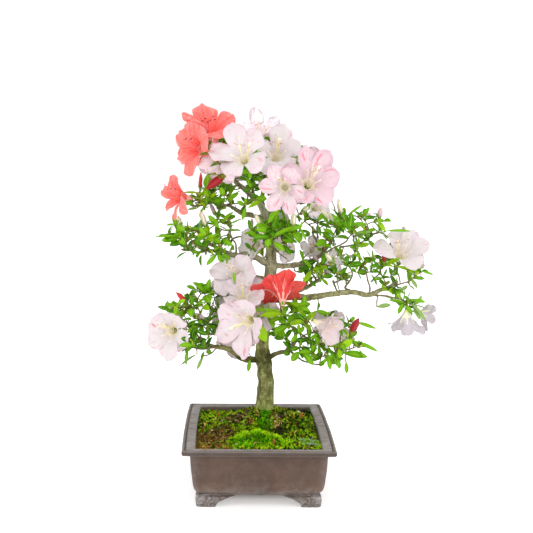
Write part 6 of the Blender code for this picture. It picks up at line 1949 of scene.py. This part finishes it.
# leaves that stand out
for (foot_px, tip_px, y, half, tone), f_ in zip(LEAVES, key_feet):
    t_ = at(*tip_px, y - 0.005)
    d = t_ - f_
    ln = np.linalg.norm(d)
    nrm = np.array([0, -0.80, 0.60]) + rng.normal(0, 0.12, 3)
    add_leaf(f_ - unit(d) * 0.001, unit(d), unit(nrm - unit(d) * np.dot(nrm, unit(d))), ln * 1.03, half * 0.00130, 0.30, 0.28,
             tones[tone][0][0])
# single leaves down the thin twigs
for k in range(n_fixed, N):
    if use[k] and k in main and thick[k] < 0.0011 and rng.random() < 0.11:
        t = unit(pos[k] - pos[parent[k]])
        e = unit(np.cross(t, rng.normal(size=3)))
        d = unit(e + 0.7 * t + np.array([0, 0, 0.35]))
        nrm = unit(np.array([0, 0, 1.0]) + 0.4 * t + rng.normal(0, 0.2, 3))
        ln = rng.uniform(0.010, 0.018)
        add_leaf(pos[k], d, unit(nrm - d * np.dot(nrm, d)), ln, ln * rng.uniform(0.17, 0.22), rng.uniform(0.1, 0.6), 0.3,
                 tone_slot(str(rng.choice(["b", "m", "d"])), rng), True)

# ----------------------------------------------------------------- leaf meshes
L = len(leaf_rows)
base = np.array([r_[0] for r_ in leaf_rows])
d = unit(np.array([r_[1] for r_ in leaf_rows]))
nrm = np.array([r_[2] for r_ in leaf_rows])
nrm = unit(nrm - d * (nrm * d).sum(-1, keepdims=True))
side = np.cross(nrm, d)
ln = np.array([r_[3] for r_ in leaf_rows])
wd = np.array([r_[4] for r_ in leaf_rows])
curl = np.array([r_[5] for r_ in leaf_rows])
fold = np.array([r_[6] for r_ in leaf_rows])
lslot = np.array([r_[7] for r_ in leaf_rows])
srow = np.array([0.0, 0.07, 0.20, 0.38, 0.56, 0.74, 0.90, 1.0])
wrow = np.array([0.08, 0.18, 0.56, 0.90, 1.0, 0.88, 0.50, 0.05])
ucol = np.array([-1.0, -0.55, -0.075, 0.075, 0.55, 1.0])
twist = rng.normal(0, 0.22, L)
k_ = np.maximum(np.abs(curl), 0.02)
sx_ = ln[:, None] * np.sin(k_[:, None] * srow) / k_[:, None]
sn_ = -ln[:, None] * (1 - np.cos(k_[:, None] * srow)) / k_[:, None]
mid_ = base[:, None] + d[:, None] * sx_[..., None] + nrm[:, None] * sn_[..., None]
tilt = k_[:, None] * srow
n_at = nrm[:, None] * np.cos(tilt)[..., None] + d[:, None] * np.sin(tilt)[..., None]
tw = twist[:, None] * srow
s_at = side[:, None] * np.cos(tw)[..., None] + n_at * np.sin(tw)[..., None]
n_tw = n_at * np.cos(tw)[..., None] - side[:, None] * np.sin(tw)[..., None]
w_at = wd[:, None] * wrow
rise = fold[:, None, None] * (np.abs(ucol) ** 1.4 * 0.9)[None, None] * w_at[..., None]
wave = 0.05 * wd[:, None, None] * np.sin(srow[None, :, None] * 9 + rng.uniform(0, 6, L)[:, None, None]) * np.sign(ucol) * (np.abs(ucol) > 0.9)
pts = mid_[:, :, None] + s_at[:, :, None] * (w_at[..., None] * ucol)[..., None] + n_tw[:, :, None] * (rise + wave)[..., None]
R_, C_ = len(srow), len(ucol)
slots = np.repeat(lslot, (R_ - 1) * (C_ - 1)).reshape(L, R_ - 1, C_ - 1)
ribs = slots.copy()
ribs[:, :, 2] = np.where(np.isin(lslot, [3])[:, None], 3, 6)[:, :1] * np.ones((1, R_ - 1), int)
ribs[:, -1, :] = slots[:, -1, :]
half_n = L // 2
order = rng.permutation(L)
for part, which in enumerate((order[:half_n], order[half_n:])):
    lb = Builder()
    lb.grid(pts[which], ribs[which].reshape(-1))
    ob = lb.make(f"leaves_{part}", leaf_mats)
    if part == 0:
        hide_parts(*[n for n in PADS if n not in ("pad_low_front", "pad_mid_front", "pad_far_low", "pad_top",
                                                      "pad_top_right", "pad_red_front", "pad_top_left")])
    print("leaf piece", part, lb.faces)
ob = twig.make("twigs", twig_mats)
print("leaves", L, "twig triangles", twig.faces)
ob = pale.make("blossom_pale", pale_mats)
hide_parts("pad_low_front", "pad_mid_front", "pad_far_low", "pad_top", "pad_top_right")
print("pale triangles", pale.faces)
ob = coral.make("blossom_coral", coral_mats)
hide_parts("pad_red_front", "pad_top_left")
print("coral triangles", coral.faces)

# --------------------------------------------------------------- stage, light
def stage():
    scene = bpy.context.scene
    scene.view_settings.view_transform = "Standard"
    scene.view_settings.look = "None"
    mesh = bpy.data.meshes.new("floor")
    s = 14.0
    mesh.from_pydata([(-s, -s, 0), (s, -s, 0), (s, s, 0), (-s, s, 0)], [], [(0, 1, 2, 3)])
    floor = bpy.data.objects.new("floor", mesh)
    scene.collection.objects.link(floor)
    m = Nodes("floor_white", 0.9, Specular_IOR_Level=0.1)
    # the sweep glows a little, as painted light, less towards the pot, and round and under the pot it is painted a
    # beige shadow
    sep = m.tree.nodes.new("ShaderNodeSeparateXYZ")
    m.link(m.coord, sep.inputs[0])
    ax = m.math("SUBTRACT", m.math("ABSOLUTE", m.math("ADD", sep.outputs["X"], -OFFSET[0])), 0.080)
    ay = m.math("SUBTRACT", m.math("ABSOLUTE", m.math("ADD", sep.outputs["Y"], -OFFSET[1])), 0.112)
    out = m.math("MAXIMUM", ax, ay)
    tint = m.mix(m.range(out, -0.040, -0.010, 0.0, 1.0), m.ramp(m.noise(3, 2), (0.3, (222, 206, 186)), (0.7, (224, 208, 188))),
                 (248, 248, 248))
    mat = m.done(tint)
    bsdf = next(n for n in m.tree.nodes if n.type == "BSDF_PRINCIPLED")
    bsdf.inputs["Emission Color"].default_value = (1, 1, 1, 1)
    m.link(m.range(out, -0.053, -0.026, 0.07, 0.43), bsdf.inputs["Emission Strength"])
    mesh.materials.append(mat)

    world = bpy.data.worlds.new("studio")
    scene.world = world
    world.use_nodes = True
    bg = world.node_tree.nodes["Background"]
    bg.inputs["Color"].default_value = (1, 1, 1, 1)
    bg.inputs["Strength"].default_value = 1.02

    def lamp(name, loc, aim, size, power):
        data = bpy.data.lights.new(name, "AREA")
        data.shape = "SQUARE"
        data.size = size
        data.energy = power
        ob = bpy.data.objects.new(name, data)
        scene.collection.objects.link(ob)
        ob.location = loc
        ob.rotation_euler = (Vector(aim) - Vector(loc)).to_track_quat("-Z", "Y").to_euler()
        return ob

    lamp("key", (-1.3, -2.0, 2.3), (0, 0, 0.25), 1.6, 6.5)
    lamp("front", (0.3, -2.4, 0.9), (0, 0, 0.2), 1.2, 6)
    lamp("fill", (1.9, -1.6, 1.5), (0, 0, 0.25), 1.8, 4)
    lamp("top", (0.2, 0.5, 2.6), (0, 0, 0.2), 1.8, 6)

    data = bpy.data.cameras.new("camera")
    data.sensor_width = 36.0
    data.lens = 36.0 * FOCAL / 533.0
    data.shift_x = 34.5 / 533.0
    data.clip_start = 0.05
    data.clip_end = 100.0
    cam = bpy.data.objects.new("camera", data)
    scene.collection.objects.link(cam)
    cam.matrix_world = Matrix.Translation(Vector(CAM + OFFSET)) @ (
        Matrix.Rotation(math.pi / 2 - PITCH, 4, "X") @ Matrix.Rotation(ROLL, 4, "Z"))
    scene.camera = cam


stage()
